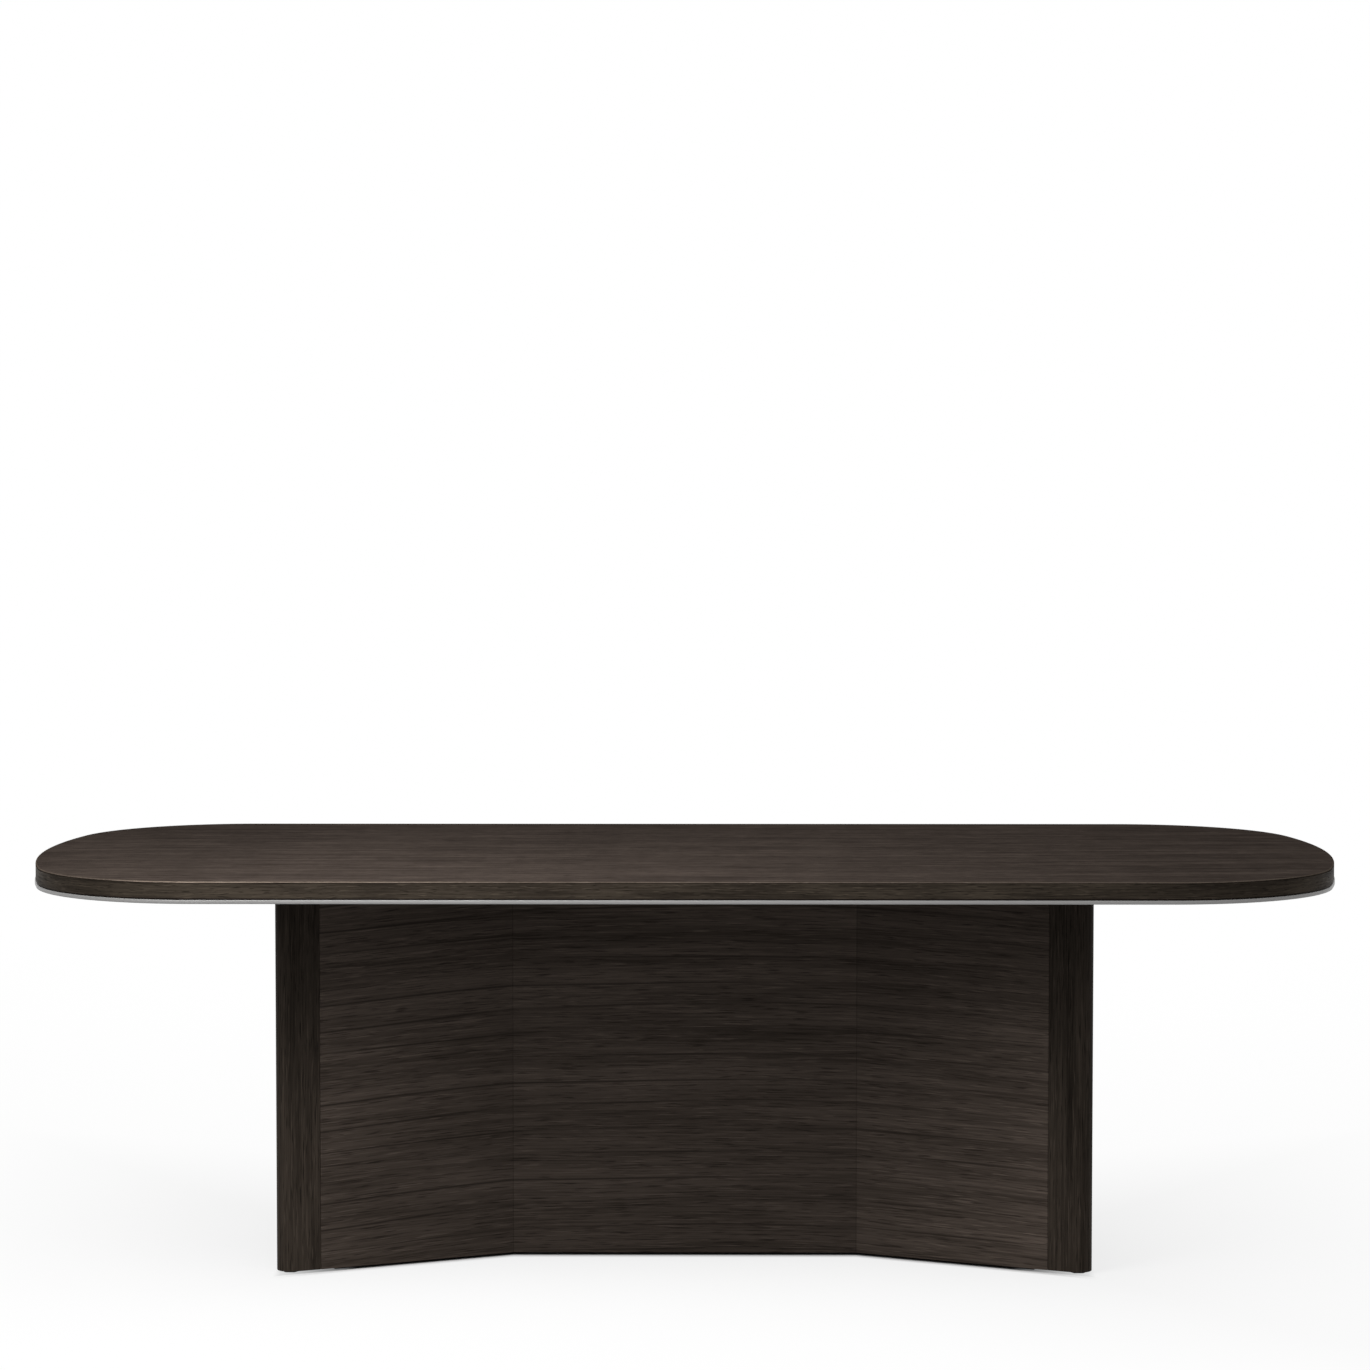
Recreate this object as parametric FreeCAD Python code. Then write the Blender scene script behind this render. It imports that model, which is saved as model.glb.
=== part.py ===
import FreeCAD, Part
import math
import os

from FreeCAD import Vector

# Dining table: a bowed-end veneered top on a pedestal of two folded screens set back to back.
# Millimetres, +Z up, +X along the table. The origin is on the floor under the middle of the top.
# Front is -Y, and left and right are as seen by someone standing in front.

# Overall sizes
TABLE_LENGTH = 2400.0
TABLE_WIDTH = 1100.0
TABLE_HEIGHT = 752.0

# Outline of the top: straight long sides, rounded corners, gently bowed ends
CORNER_RADIUS = 320.0
END_BOW_RADIUS = 1350.0

# Layers of the top
CORE_THICKNESS = 26.0
VENEER_THICKNESS = 3.0
LIPPING_DEPTH = 12.0
UPPER_ARRIS = 2.4
LOWER_ARRIS = 1.6

# Metal edge trim, an angle section under the rim of the top that stands a little proud of it
TRIM_PROUD = 1.5
TRIM_DROP = 7.0
TRIM_WALL = 3.0
TRIM_FLANGE = 22.0
TRIM_TOP_EASE = 0.6
TRIM_FOOT_EASE = 1.5
TRIM_SCREW_SPACING = 420.0

# Flat steel bars that keep the top from sagging
STIFFENER_LENGTH = 1800.0
STIFFENER_WIDTH = 40.0
STIFFENER_THICKNESS = 6.0
STIFFENER_OFFSET = 330.0
STIFFENER_CORNER = 6.0
STIFFENER_SCREW_COUNT = 4
STIFFENER_SCREW_MARGIN = 40.0

# Folded screens of the pedestal
SCREEN_THICKNESS = 50.0
SKIN_THICKNESS = 9.0
CENTRE_WIDTH = 640.0
WING_ANGLE = 25.7
WING_LENGTH = 382.0
POST_STRAIGHT = 50.0
SEAM_CHAMFER = 1.2

# Inner frames of the screens
STILE_WIDTH = 72.0
MIDDLE_STILE_WIDTH = 60.0
TOP_RAIL = 70.0
BOTTOM_RAIL = 60.0
MIDDLE_RAIL = 45.0
FRAME_ROWS = 3

# Loose splines at the creases, tongues at the posts, loose tenons between the two screens
SPLINE_WIDTH = 30.0
SPLINE_THICKNESS = 6.0
TONGUE_WIDTH = 24.0
TONGUE_THICKNESS = 10.0
JOINT_STOP = 40.0
TENON_WIDTH = 40.0
TENON_THICKNESS = 10.0
TENON_BITE = 14.0
TENON_ROWS = 3
TENON_END_MARGIN = 110.0

# Steel tie plates let into the tops of the wings, and the bolts that hold the top down
TIE_PLATE_START = 140.0
TIE_PLATE_LENGTH = 200.0
TIE_PLATE_SEAT = 30.0
TIE_PLATE_THICKNESS = 6.0
TIE_PLATE_CORNER = 8.0
TIE_SCREW_MARGIN = 25.0
BOLT_DIAMETER = 8.0
BOLT_BITE = 16.0
BOLT_HOLE_DIAMETER = 9.0
BOLT_MARGIN = 40.0
BOLT_SETBACK = 40.0
BOLT_HEAD_ACROSS_FLATS = 13.0
BOLT_HEAD_HEIGHT = 6.0
INSERT_ACROSS_FLATS = 14.0
INSERT_LENGTH = 18.0

# Countersunk wood screws as head width, shank width, length
TRIM_SCREW = (7.0, 3.5, 16.0)
STIFFENER_SCREW = (9.0, 4.4, 24.0)
TIE_SCREW = (10.0, 5.0, 40.0)

# Feet: plain glides carry the table, and levellers screw down where the floor is uneven
GLIDE_LENGTH = 60.0
GLIDE_WIDTH = 30.0
GLIDE_THICKNESS = 4.0
GLIDE_EASE = 1.0
GLIDE_SETBACK = 60.0
LEVELLER_LIFT = 1.0
LEVELLER_FOOT_ACROSS_FLATS = 32.0
LEVELLER_FOOT_THICKNESS = 7.0
LEVELLER_FOOT_EASE = 1.5
LEVELLER_ROOM = 1.0
LEVELLER_STUD_DIAMETER = 10.0
LEVELLER_STUD_LENGTH = 41.0
LEVELLER_TANG_ACROSS_FLATS = 7.0
LEVELLER_TANG_LENGTH = 5.0
SLEEVE_ACROSS_FLATS = 15.0
SLEEVE_LENGTH = 30.0

# Small fittings repeat, so they have few sides: wood screws six, other round shanks and bores twelve
SCREW_SIDES = 6
ROUND_SIDES = 12

# Clearances
GLUE_GAP = 0.2
SCREW_GAP = 0.1
PLATE_GAP = 0.5
THREAD_GAP = 0.06
HOME_GAP = 0.3

# Heights and directions that follow from the sizes above
TOP_UNDERSIDE = TABLE_HEIGHT - CORE_THICKNESS - 2 * VENEER_THICKNESS
CORE_BOTTOM = TOP_UNDERSIDE + VENEER_THICKNESS
CORE_TOP = CORE_BOTTOM + CORE_THICKNESS
CORE_INSET = TRIM_PROUD + LIPPING_DEPTH
SCREEN_BOTTOM = GLIDE_THICKNESS
PLATE_BOTTOM = TOP_UNDERSIDE - TIE_PLATE_THICKNESS
FRAME_BACK = SCREEN_THICKNESS - SKIN_THICKNESS
MID_DEPTH = SCREEN_THICKNESS / 2
COS_WING = math.cos(math.radians(WING_ANGLE))
SIN_WING = math.sin(math.radians(WING_ANGLE))
COS_HALF = math.cos(math.radians(WING_ANGLE / 2))
SIN_HALF = math.sin(math.radians(WING_ANGLE / 2))
MITRE_SLOPE = SIN_HALF / COS_HALF
UP = Vector(0, 0, 1)


def export(name, shape):
    shape.exportStep(f"parts/{name}.step")


def cut_all(shape, tools):
    return shape.cut(list(tools))


def mirrored(shape):
    """The same piece on the other side of the YZ plane."""
    return shape.mirror(Vector(0, 0, 0), Vector(1, 0, 0))


def turned(shape):
    """The same piece on the other screen, half a turn about the upright axis."""
    copy = shape.copy()
    copy.rotate(Vector(0, 0, 0), UP, 180)
    return copy


def four_quarters(shape):
    """A piece of the front right quarter, and its copies in the other three."""
    return {
        "front_right": shape,
        "front_left": mirrored(shape),
        "rear_left": turned(shape),
        "rear_right": turned(mirrored(shape)),
    }


def prism(corners, bottom, top):
    """Upright solid between two heights over a plan with straight sides."""
    points = [Vector(x, y, bottom) for x, y in corners]
    outline = Part.makePolygon(points + points[:1])
    return Part.Face(outline).extrude(UP * (top - bottom))


def clipped_prism(corners, bottom, top, clip):
    """A prism whose upright edges are clipped."""
    solid = prism(corners, bottom, top)
    upright = [edge for edge in solid.Edges if abs(edge.tangentAt(edge.FirstParameter).z) > 0.9]
    return solid.makeChamfer(clip, upright)


def flat_face(points):
    return Part.Face(Part.makePolygon(points + points[:1]))


def polygon(sides, across_flats, height):
    radius = across_flats / 2 / math.cos(math.pi / sides)
    angles = [2 * math.pi * corner / sides for corner in range(sides)]
    return [Vector(radius * math.cos(angle), radius * math.sin(angle), height) for angle in angles]


def many_sided(sides, sections):
    """Solid through polygons about the Z axis, each given as width across flats and height."""
    rings = [polygon(sides, width, height) for width, height in sections]
    faces = [flat_face(rings[0][::-1]), flat_face(rings[-1])]
    for lower, upper in zip(rings, rings[1:]):
        faces += [
            flat_face([lower[side - 1], lower[side], upper[side], upper[side - 1]])
            for side in range(sides)
        ]
    return Part.Solid(Part.Shell(faces))


def upright_bar(sides, width, bottom, top):
    return many_sided(sides, [(width, bottom), (width, top)])


def countersunk_screw(size, gap=0.0):
    """Screw with its flat head at the origin and its shank up, or with a gap the hole for it."""
    head_width, shank_width, length = size
    head = head_width + 2 * gap
    shank = shank_width + 2 * gap
    return many_sided(SCREW_SIDES, [(head, 0), (shank, (head - shank) / 2), (shank, length + gap)])


def threaded_sleeve(across_flats, stud_diameter, length):
    """Hexagonal sleeve on the origin with a bore for its stud."""
    bore = upright_bar(ROUND_SIDES, stud_diameter + 2 * THREAD_GAP, 0, length)
    return upright_bar(6, across_flats, 0, length).cut(bore)


def placed(shape, x, y, z, upside_down=False):
    copy = shape.copy()
    if upside_down:
        copy.rotate(Vector(0, 0, 0), Vector(1, 0, 0), 180)
    copy.translate(Vector(x, y, z))
    return copy


def spans(low, high, border_low, border_high, bar, count):
    """The count equal openings between two borders, with bars between them."""
    clear = high - low - border_low - border_high - (count - 1) * bar
    opening = clear / count
    starts = [low + border_low + index * (opening + bar) for index in range(count)]
    return [(start, start + opening) for start in starts]


# Outline of the top

def outline_pieces(inset):
    """The outline moved inwards by inset, as eight named edges in order.

    Each end is one large arc. Each corner is a smaller arc that touches the end and the long side.
    """
    half_length = TABLE_LENGTH / 2 - inset
    half_width = TABLE_WIDTH / 2 - inset
    corner_radius = CORNER_RADIUS - inset
    end_radius = END_BOW_RADIUS - inset
    end_x = half_length - end_radius
    corner_y = half_width - corner_radius
    reach = end_radius - corner_radius
    blend_angle = math.asin(corner_y / reach)
    corner_x = end_x + reach * math.cos(blend_angle)
    middle_angle = (blend_angle + math.pi / 2) / 2

    def side_point(sign_x, sign_y):
        return Vector(sign_x * corner_x, sign_y * half_width, 0)

    def middle_point(sign_x, sign_y):
        x = corner_x + corner_radius * math.cos(middle_angle)
        y = corner_y + corner_radius * math.sin(middle_angle)
        return Vector(sign_x * x, sign_y * y, 0)

    def blend_point(sign_x, sign_y):
        x = end_x + end_radius * math.cos(blend_angle)
        y = end_radius * math.sin(blend_angle)
        return Vector(sign_x * x, sign_y * y, 0)

    def corner(sign_x, sign_y):
        points = [place(sign_x, sign_y) for place in (side_point, middle_point, blend_point)]
        return Part.Arc(*points).toShape()

    def end(sign_x):
        tip = Vector(sign_x * half_length, 0, 0)
        return Part.Arc(blend_point(sign_x, -1), tip, blend_point(sign_x, 1)).toShape()

    def side(sign_y):
        return Part.makeLine(side_point(-1, sign_y), side_point(1, sign_y))

    return {
        "front": side(-1),
        "front_right": corner(1, -1),
        "right_end": end(1),
        "rear_right": corner(1, 1),
        "rear": side(1),
        "rear_left": corner(-1, 1),
        "left_end": end(-1),
        "front_left": corner(-1, -1),
    }


def wire_of(edges):
    return Part.Wire(Part.__sortEdges__(list(edges)))


def outline_slab(inset, bottom, top):
    """Board with the outline of the top, moved inwards by inset."""
    face = Part.Face(wire_of(outline_pieces(inset).values()))
    face.translate(Vector(0, 0, bottom))
    return face.extrude(UP * (top - bottom))


def edges_at_height(shape, height):
    return [edge for edge in shape.Edges if all(abs(v.Z - height) < 1e-6 for v in edge.Vertexes)]


# Layers of the top

def top_veneer():
    slab = outline_slab(TRIM_PROUD, CORE_TOP, TABLE_HEIGHT)
    return slab.makeChamfer(UPPER_ARRIS, edges_at_height(slab, TABLE_HEIGHT))


def backing_veneer(holes):
    slab = outline_slab(TRIM_PROUD, TOP_UNDERSIDE, CORE_BOTTOM)
    eased = slab.makeChamfer(LOWER_ARRIS, edges_at_height(slab, TOP_UNDERSIDE))
    return cut_all(eased, holes)


def top_core(holes):
    return cut_all(outline_slab(CORE_INSET, CORE_BOTTOM, CORE_TOP), holes)


def lippings():
    """Solid edge pieces round the core, one for each stretch of the outline."""
    outer = outline_pieces(TRIM_PROUD)
    inner = outline_pieces(CORE_INSET)
    pieces = {}
    for name in outer:
        ends = zip(outer[name].Vertexes, inner[name].Vertexes)
        closing = [Part.makeLine(a.Point, b.Point) for a, b in ends]
        face = Part.Face(wire_of([outer[name], inner[name]] + closing))
        face.translate(Vector(0, 0, CORE_BOTTOM))
        pieces[name] = face.extrude(UP * CORE_THICKNESS)
    return pieces


# Metal trim under the rim

def trim_profile(start):
    """Angle section at the start of a stretch that sets off along +X with the table on its left."""
    def point(inset, height):
        return Vector(start.x, start.y + inset, TOP_UNDERSIDE + height)

    corners = [
        point(0, TRIM_FOOT_EASE - TRIM_DROP),
        point(0, -TRIM_TOP_EASE),
        point(TRIM_TOP_EASE, 0),
        point(TRIM_FLANGE, 0),
        point(TRIM_FLANGE, -TRIM_WALL),
        point(TRIM_WALL, -TRIM_WALL),
        point(TRIM_WALL, -TRIM_DROP),
        point(TRIM_FOOT_EASE, -TRIM_DROP),
    ]
    return Part.makePolygon(corners + corners[:1])


TRIM_STRETCHES = {
    "front": ["front"],
    "right_end": ["front_right", "right_end", "rear_right"],
}


def trim_path(stretch, inset, height):
    edges = outline_pieces(inset)
    path = wire_of(edges[name] for name in TRIM_STRETCHES[stretch])
    path.translate(Vector(0, 0, height))
    return path


def trim_screw_points(stretch):
    """Middles of equal steps along the flange, inside the lipping's joint with the core."""
    inset = (CORE_INSET + TRIM_FLANGE) / 2
    path = trim_path(stretch, inset, TOP_UNDERSIDE - TRIM_WALL)
    count = max(2, round(path.Length / TRIM_SCREW_SPACING))
    return path.discretize(2 * count + 1)[1::2]


def trim(stretch, holes):
    half_width = TABLE_WIDTH / 2
    path = trim_path(stretch, 0, TOP_UNDERSIDE)
    start = min((v.Point for v in path.Vertexes), key=lambda p: (abs(p.y + half_width) > 1e-6, p.x))
    section = path.makePipeShell([trim_profile(start)], True, False)
    return cut_all(section, holes)


# Stiffener bars under the top

def stiffener_screw_points():
    reach = STIFFENER_LENGTH / 2 - STIFFENER_SCREW_MARGIN
    step = 2 * reach / (STIFFENER_SCREW_COUNT - 1)
    height = TOP_UNDERSIDE - STIFFENER_THICKNESS
    places = [index * step - reach for index in range(STIFFENER_SCREW_COUNT)]
    return [Vector(x, -STIFFENER_OFFSET, height) for x in places]


def stiffener(holes):
    half = STIFFENER_LENGTH / 2
    near = -STIFFENER_OFFSET - STIFFENER_WIDTH / 2
    far = near + STIFFENER_WIDTH
    corners = [(-half, near), (half, near), (half, far), (-half, far)]
    bar = clipped_prism(corners, TOP_UNDERSIDE - STIFFENER_THICKNESS, TOP_UNDERSIDE, STIFFENER_CORNER)
    return cut_all(bar, holes)


# Panels of the front screen, in plan coordinates along the face and in depth from it

def centre_point(along, depth):
    """Plan position in the centre panel, from the middle of its face."""
    return along, depth - SCREEN_THICKNESS


def wing_point(along, depth):
    """Plan position in the right wing, from the crease and from its face."""
    x = CENTRE_WIDTH / 2 + along * COS_WING + depth * SIN_WING
    y = -SCREEN_THICKNESS - along * SIN_WING + depth * COS_WING
    return x, y


def centre_layer(front, back):
    """Full-height layer of the centre panel, mitred at both creases."""
    def reach(depth):
        return CENTRE_WIDTH / 2 + depth * MITRE_SLOPE

    sides = [(-reach(front), front), (reach(front), front), (reach(back), back), (-reach(back), back)]
    return prism([centre_point(*side) for side in sides], SCREEN_BOTTOM, TOP_UNDERSIDE)


def wing_layer(front, back, front_ease=0.0, back_ease=0.0):
    """Full-height layer of the right wing, mitred at the crease and eased where it meets the post."""
    sides = [
        (-front * MITRE_SLOPE, front),
        (WING_LENGTH - front_ease, front),
        (WING_LENGTH, front + front_ease),
        (WING_LENGTH, back - back_ease),
        (WING_LENGTH - back_ease, back),
        (-back * MITRE_SLOPE, back),
    ]
    distinct = [side for index, side in enumerate(sides) if side != sides[index - 1]]
    return prism([wing_point(*side) for side in distinct], SCREEN_BOTTOM, TOP_UNDERSIDE)


def frame_windows(point, columns):
    """Cut-outs between the stiles and rails of an inner frame."""
    rows = spans(SCREEN_BOTTOM, TOP_UNDERSIDE, BOTTOM_RAIL, TOP_RAIL, MIDDLE_RAIL, FRAME_ROWS)
    cut_outs = []
    for low, high in columns:
        sides = [(low, SKIN_THICKNESS), (high, SKIN_THICKNESS), (high, FRAME_BACK), (low, FRAME_BACK)]
        corners = [point(*side) for side in sides]
        cut_outs += [prism(corners, bottom, top) for bottom, top in rows]
    return cut_outs


def crease_spline(gap=0.0):
    """Loose plywood spline across the mitre of the right crease."""
    middle_x, middle_y = wing_point(-MID_DEPTH * MITRE_SLOPE, MID_DEPTH)
    half_width = SPLINE_WIDTH / 2 + gap
    half_thickness = SPLINE_THICKNESS / 2 + gap
    corners = []
    for across, through in ((-1, -1), (1, -1), (1, 1), (-1, 1)):
        x = middle_x + across * half_width * COS_HALF + through * half_thickness * SIN_HALF
        y = middle_y - across * half_width * SIN_HALF + through * half_thickness * COS_HALF
        corners.append((x, y))
    return prism(corners, SCREEN_BOTTOM + JOINT_STOP - gap, TOP_UNDERSIDE - JOINT_STOP + gap)


def post_tongue(gap=0.0):
    """Loose tongue between the right wing and its post."""
    low = WING_LENGTH - TONGUE_WIDTH / 2 - gap
    high = WING_LENGTH + TONGUE_WIDTH / 2 + gap
    front = MID_DEPTH - TONGUE_THICKNESS / 2 - gap
    back = MID_DEPTH + TONGUE_THICKNESS / 2 + gap
    corners = [wing_point(*side) for side in ((low, front), (high, front), (high, back), (low, back))]
    return prism(corners, SCREEN_BOTTOM + JOINT_STOP - gap, TOP_UNDERSIDE - JOINT_STOP + gap)


def tenon_places():
    """Middles of the stiles of the centre frame, at even heights."""
    reach = CENTRE_WIDTH / 2 - STILE_WIDTH / 2
    low = SCREEN_BOTTOM + TENON_END_MARGIN
    step = (TOP_UNDERSIDE - TENON_END_MARGIN - low) / (TENON_ROWS - 1)
    return [(x, low + row * step) for x in (-reach, 0, reach) for row in range(TENON_ROWS)]


def centre_tenons(gap=0.0):
    """Loose tenons through the backs of both centre panels into their frames."""
    length = 2 * (SKIN_THICKNESS + TENON_BITE + gap)
    width = TENON_WIDTH + 2 * gap
    thickness = TENON_THICKNESS + 2 * gap
    return [
        Part.makeBox(thickness, length, width, Vector(x - thickness / 2, -length / 2, z - width / 2))
        for x, z in tenon_places()
    ]


# Tie plates and the bolts into the top

def tie_plate_outline(gap=0.0):
    """Right plate in plan: it bridges the notch between the two wings and seats on both."""
    near = TIE_PLATE_START - gap
    far = TIE_PLATE_START + TIE_PLATE_LENGTH + gap
    depth = SCREEN_THICKNESS - TIE_PLATE_SEAT - gap
    near_x, near_y = wing_point(near, depth)
    far_x, far_y = wing_point(far, depth)
    return [(near_x, near_y), (far_x, far_y), (far_x, -far_y), (near_x, -near_y)]


def both_ways(points):
    return points + [(x, -y) for x, y in points]


def tie_screw_places():
    depth = SCREEN_THICKNESS - (SKIN_THICKNESS + TIE_PLATE_SEAT) / 2
    ends = (TIE_PLATE_START + TIE_SCREW_MARGIN, TIE_PLATE_START + TIE_PLATE_LENGTH - TIE_SCREW_MARGIN)
    return both_ways([wing_point(along, depth) for along in ends])


def bolt_places():
    depth = SCREEN_THICKNESS + BOLT_SETBACK
    return both_ways([wing_point(TIE_PLATE_START + TIE_PLATE_LENGTH - BOLT_MARGIN, depth)])


def tie_plate():
    plate = clipped_prism(tie_plate_outline(), PLATE_BOTTOM, TOP_UNDERSIDE, TIE_PLATE_CORNER)
    screw_hole = countersunk_screw(TIE_SCREW, SCREW_GAP)
    holes = [placed(screw_hole, x, y, TOP_UNDERSIDE, upside_down=True) for x, y in tie_screw_places()]
    bolt_hole = upright_bar(ROUND_SIDES, BOLT_HOLE_DIAMETER, PLATE_BOTTOM, TOP_UNDERSIDE)
    holes += [placed(bolt_hole, x, y, 0) for x, y in bolt_places()]
    return cut_all(plate, holes)


def top_bolt():
    """Hex bolt with its shank up and the seat of its head at the origin."""
    head = upright_bar(6, BOLT_HEAD_ACROSS_FLATS, -BOLT_HEAD_HEIGHT, 0)
    return head.fuse(upright_bar(ROUND_SIDES, BOLT_DIAMETER, 0, TIE_PLATE_THICKNESS + BOLT_BITE))


def top_insert():
    return threaded_sleeve(INSERT_ACROSS_FLATS, BOLT_DIAMETER, INSERT_LENGTH)


def insert_seat():
    return upright_bar(6, INSERT_ACROSS_FLATS + 2 * SCREW_GAP, 0, INSERT_LENGTH + SCREW_GAP)


# Feet

def glide(point, along):
    """Nylon pad under a panel, eased round its lower edge."""
    low = along - GLIDE_LENGTH / 2
    high = along + GLIDE_LENGTH / 2
    front = MID_DEPTH - GLIDE_WIDTH / 2
    back = MID_DEPTH + GLIDE_WIDTH / 2
    corners = [point(*side) for side in ((low, front), (high, front), (high, back), (low, back))]
    pad = prism(corners, 0, GLIDE_THICKNESS)
    return pad.makeChamfer(GLIDE_EASE, edges_at_height(pad, 0))


LEVELLER_PLACE = (WING_LENGTH + POST_STRAIGHT, MID_DEPTH)
FOOT_TOP = LEVELLER_LIFT + LEVELLER_FOOT_THICKNESS
RECESS_TOP = FOOT_TOP + HOME_GAP
TANG_BOTTOM = FOOT_TOP - LEVELLER_TANG_LENGTH


def leveller_foot():
    """Hexagonal nylon foot, turned by hand or spanner, moulded round the tang of its stud."""
    width = LEVELLER_FOOT_ACROSS_FLATS
    sections = [
        (width - 2 * LEVELLER_FOOT_EASE, LEVELLER_LIFT),
        (width, LEVELLER_LIFT + LEVELLER_FOOT_EASE),
        (width, FOOT_TOP),
    ]
    socket = upright_bar(6, LEVELLER_TANG_ACROSS_FLATS + 2 * SCREW_GAP, TANG_BOTTOM, FOOT_TOP)
    return many_sided(6, sections).cut(socket)


def leveller_stud():
    stud = upright_bar(ROUND_SIDES, LEVELLER_STUD_DIAMETER, FOOT_TOP, FOOT_TOP + LEVELLER_STUD_LENGTH)
    return stud.fuse(upright_bar(6, LEVELLER_TANG_ACROSS_FLATS, TANG_BOTTOM, FOOT_TOP))


def leveller_sleeve():
    sleeve = threaded_sleeve(SLEEVE_ACROSS_FLATS, LEVELLER_STUD_DIAMETER, SLEEVE_LENGTH)
    return placed(sleeve, 0, 0, RECESS_TOP)


def leveller_sockets():
    """What is cut out of the post: a recess for the foot, the sleeve's seat and room for the stud."""
    foot_over_corners = LEVELLER_FOOT_ACROSS_FLATS / math.cos(math.pi / 6)
    seat_width = SLEEVE_ACROSS_FLATS + 2 * SCREW_GAP
    seat_top = RECESS_TOP + SLEEVE_LENGTH
    room_width = LEVELLER_STUD_DIAMETER + 2 * LEVELLER_ROOM
    room_top = FOOT_TOP + LEVELLER_STUD_LENGTH + LEVELLER_ROOM
    return [
        upright_bar(ROUND_SIDES, foot_over_corners + 2 * LEVELLER_ROOM, SCREEN_BOTTOM, RECESS_TOP),
        upright_bar(6, seat_width, RECESS_TOP, seat_top),
        upright_bar(ROUND_SIDES, room_width, seat_top, room_top),
    ]


# Pieces of the front screen

def centre_frame():
    """Stiles and rails inside the centre panel."""
    half = CENTRE_WIDTH / 2
    columns = spans(-half, half, STILE_WIDTH, STILE_WIDTH, MIDDLE_STILE_WIDTH, 2)
    groove = crease_spline(GLUE_GAP)
    tools = frame_windows(centre_point, columns) + centre_tenons(GLUE_GAP)
    tools += [groove, mirrored(groove)]
    return cut_all(centre_layer(SKIN_THICKNESS, FRAME_BACK), tools)


def wing_frame():
    """Stiles and rails inside the right wing, with the seat of the tie plate."""
    columns = spans(0, WING_LENGTH, STILE_WIDTH, STILE_WIDTH, 0, 1)
    screw_hole = countersunk_screw(TIE_SCREW, SCREW_GAP)
    tools = frame_windows(wing_point, columns)
    tools += [crease_spline(GLUE_GAP), post_tongue(GLUE_GAP), tie_plate_seat()]
    tools += [placed(screw_hole, x, y, TOP_UNDERSIDE, upside_down=True) for x, y in tie_screw_places()]
    return cut_all(wing_layer(SKIN_THICKNESS, FRAME_BACK), tools)


def tie_plate_seat():
    return prism(tie_plate_outline(PLATE_GAP), PLATE_BOTTOM, TOP_UNDERSIDE)


def wing_inner_skin():
    skin = wing_layer(FRAME_BACK, SCREEN_THICKNESS, back_ease=SEAM_CHAMFER)
    return skin.cut(tie_plate_seat())


def post():
    """Solid post at the end of the right wing: its outer edge is a full half round."""
    def point(along, depth):
        return Vector(*wing_point(WING_LENGTH + along, depth), SCREEN_BOTTOM)

    nose = point(POST_STRAIGHT + MID_DEPTH, MID_DEPTH)
    corners = [
        point(POST_STRAIGHT, SCREEN_THICKNESS),
        point(SEAM_CHAMFER, SCREEN_THICKNESS),
        point(0, SCREEN_THICKNESS - SEAM_CHAMFER),
        point(0, SEAM_CHAMFER),
        point(SEAM_CHAMFER, 0),
        point(POST_STRAIGHT, 0),
    ]
    sides = [Part.makeLine(a, b) for a, b in zip(corners, corners[1:])]
    half_round = Part.Arc(corners[-1], nose, corners[0]).toShape()
    solid = Part.Face(Part.Wire(sides + [half_round])).extrude(UP * (TOP_UNDERSIDE - SCREEN_BOTTOM))
    sockets = [placed(socket, *wing_point(*LEVELLER_PLACE), 0) for socket in leveller_sockets()]
    return cut_all(solid, sockets + [post_tongue(GLUE_GAP)])


# Assembly

def build_top():
    screw = countersunk_screw(TRIM_SCREW)
    screw_hole = countersunk_screw(TRIM_SCREW, SCREW_GAP)
    bar_screw = countersunk_screw(STIFFENER_SCREW)
    bar_hole = countersunk_screw(STIFFENER_SCREW, SCREW_GAP)
    trim_screws = {}
    trim_holes = {}
    for stretch in TRIM_STRETCHES:
        points = trim_screw_points(stretch)
        trim_screws[stretch] = [placed(screw, p.x, p.y, p.z) for p in points]
        trim_holes[stretch] = [placed(screw_hole, p.x, p.y, p.z) for p in points]
    bar_points = stiffener_screw_points()
    bar_screws = [placed(bar_screw, p.x, p.y, p.z) for p in bar_points]
    bar_holes = [placed(bar_hole, p.x, p.y, p.z) for p in bar_points]

    inserts = [placed(top_insert(), x, y, TOP_UNDERSIDE) for x, y in bolt_places()]
    insert_holes = [placed(insert_seat(), x, y, TOP_UNDERSIDE) for x, y in bolt_places()]

    def both_ends(shapes):
        return shapes + [mirrored(shape) for shape in shapes]

    def both_sides(shapes):
        return shapes + [turned(shape) for shape in shapes]

    holes = both_sides(trim_holes["front"] + bar_holes)
    holes += both_ends(trim_holes["right_end"] + insert_holes)
    export("top_veneer", top_veneer())
    export("top_core", top_core(holes))
    export("backing_veneer", backing_veneer(holes))
    for name, piece in lippings().items():
        export(f"lipping_{name}", piece)

    front_trim = trim("front", trim_holes["front"])
    end_trim = trim("right_end", trim_holes["right_end"])
    export("trim_front", front_trim)
    export("trim_rear", turned(front_trim))
    export("trim_right_end", end_trim)
    export("trim_left_end", mirrored(end_trim))
    screws = both_sides(trim_screws["front"]) + both_ends(trim_screws["right_end"])
    export("trim_screws", Part.makeCompound(screws))

    bar = stiffener(bar_holes)
    export("stiffener_front", bar)
    export("stiffener_rear", turned(bar))
    export("stiffener_screws", Part.makeCompound(both_sides(bar_screws)))
    export("top_inserts", Part.makeCompound(both_ends(inserts)))


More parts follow.
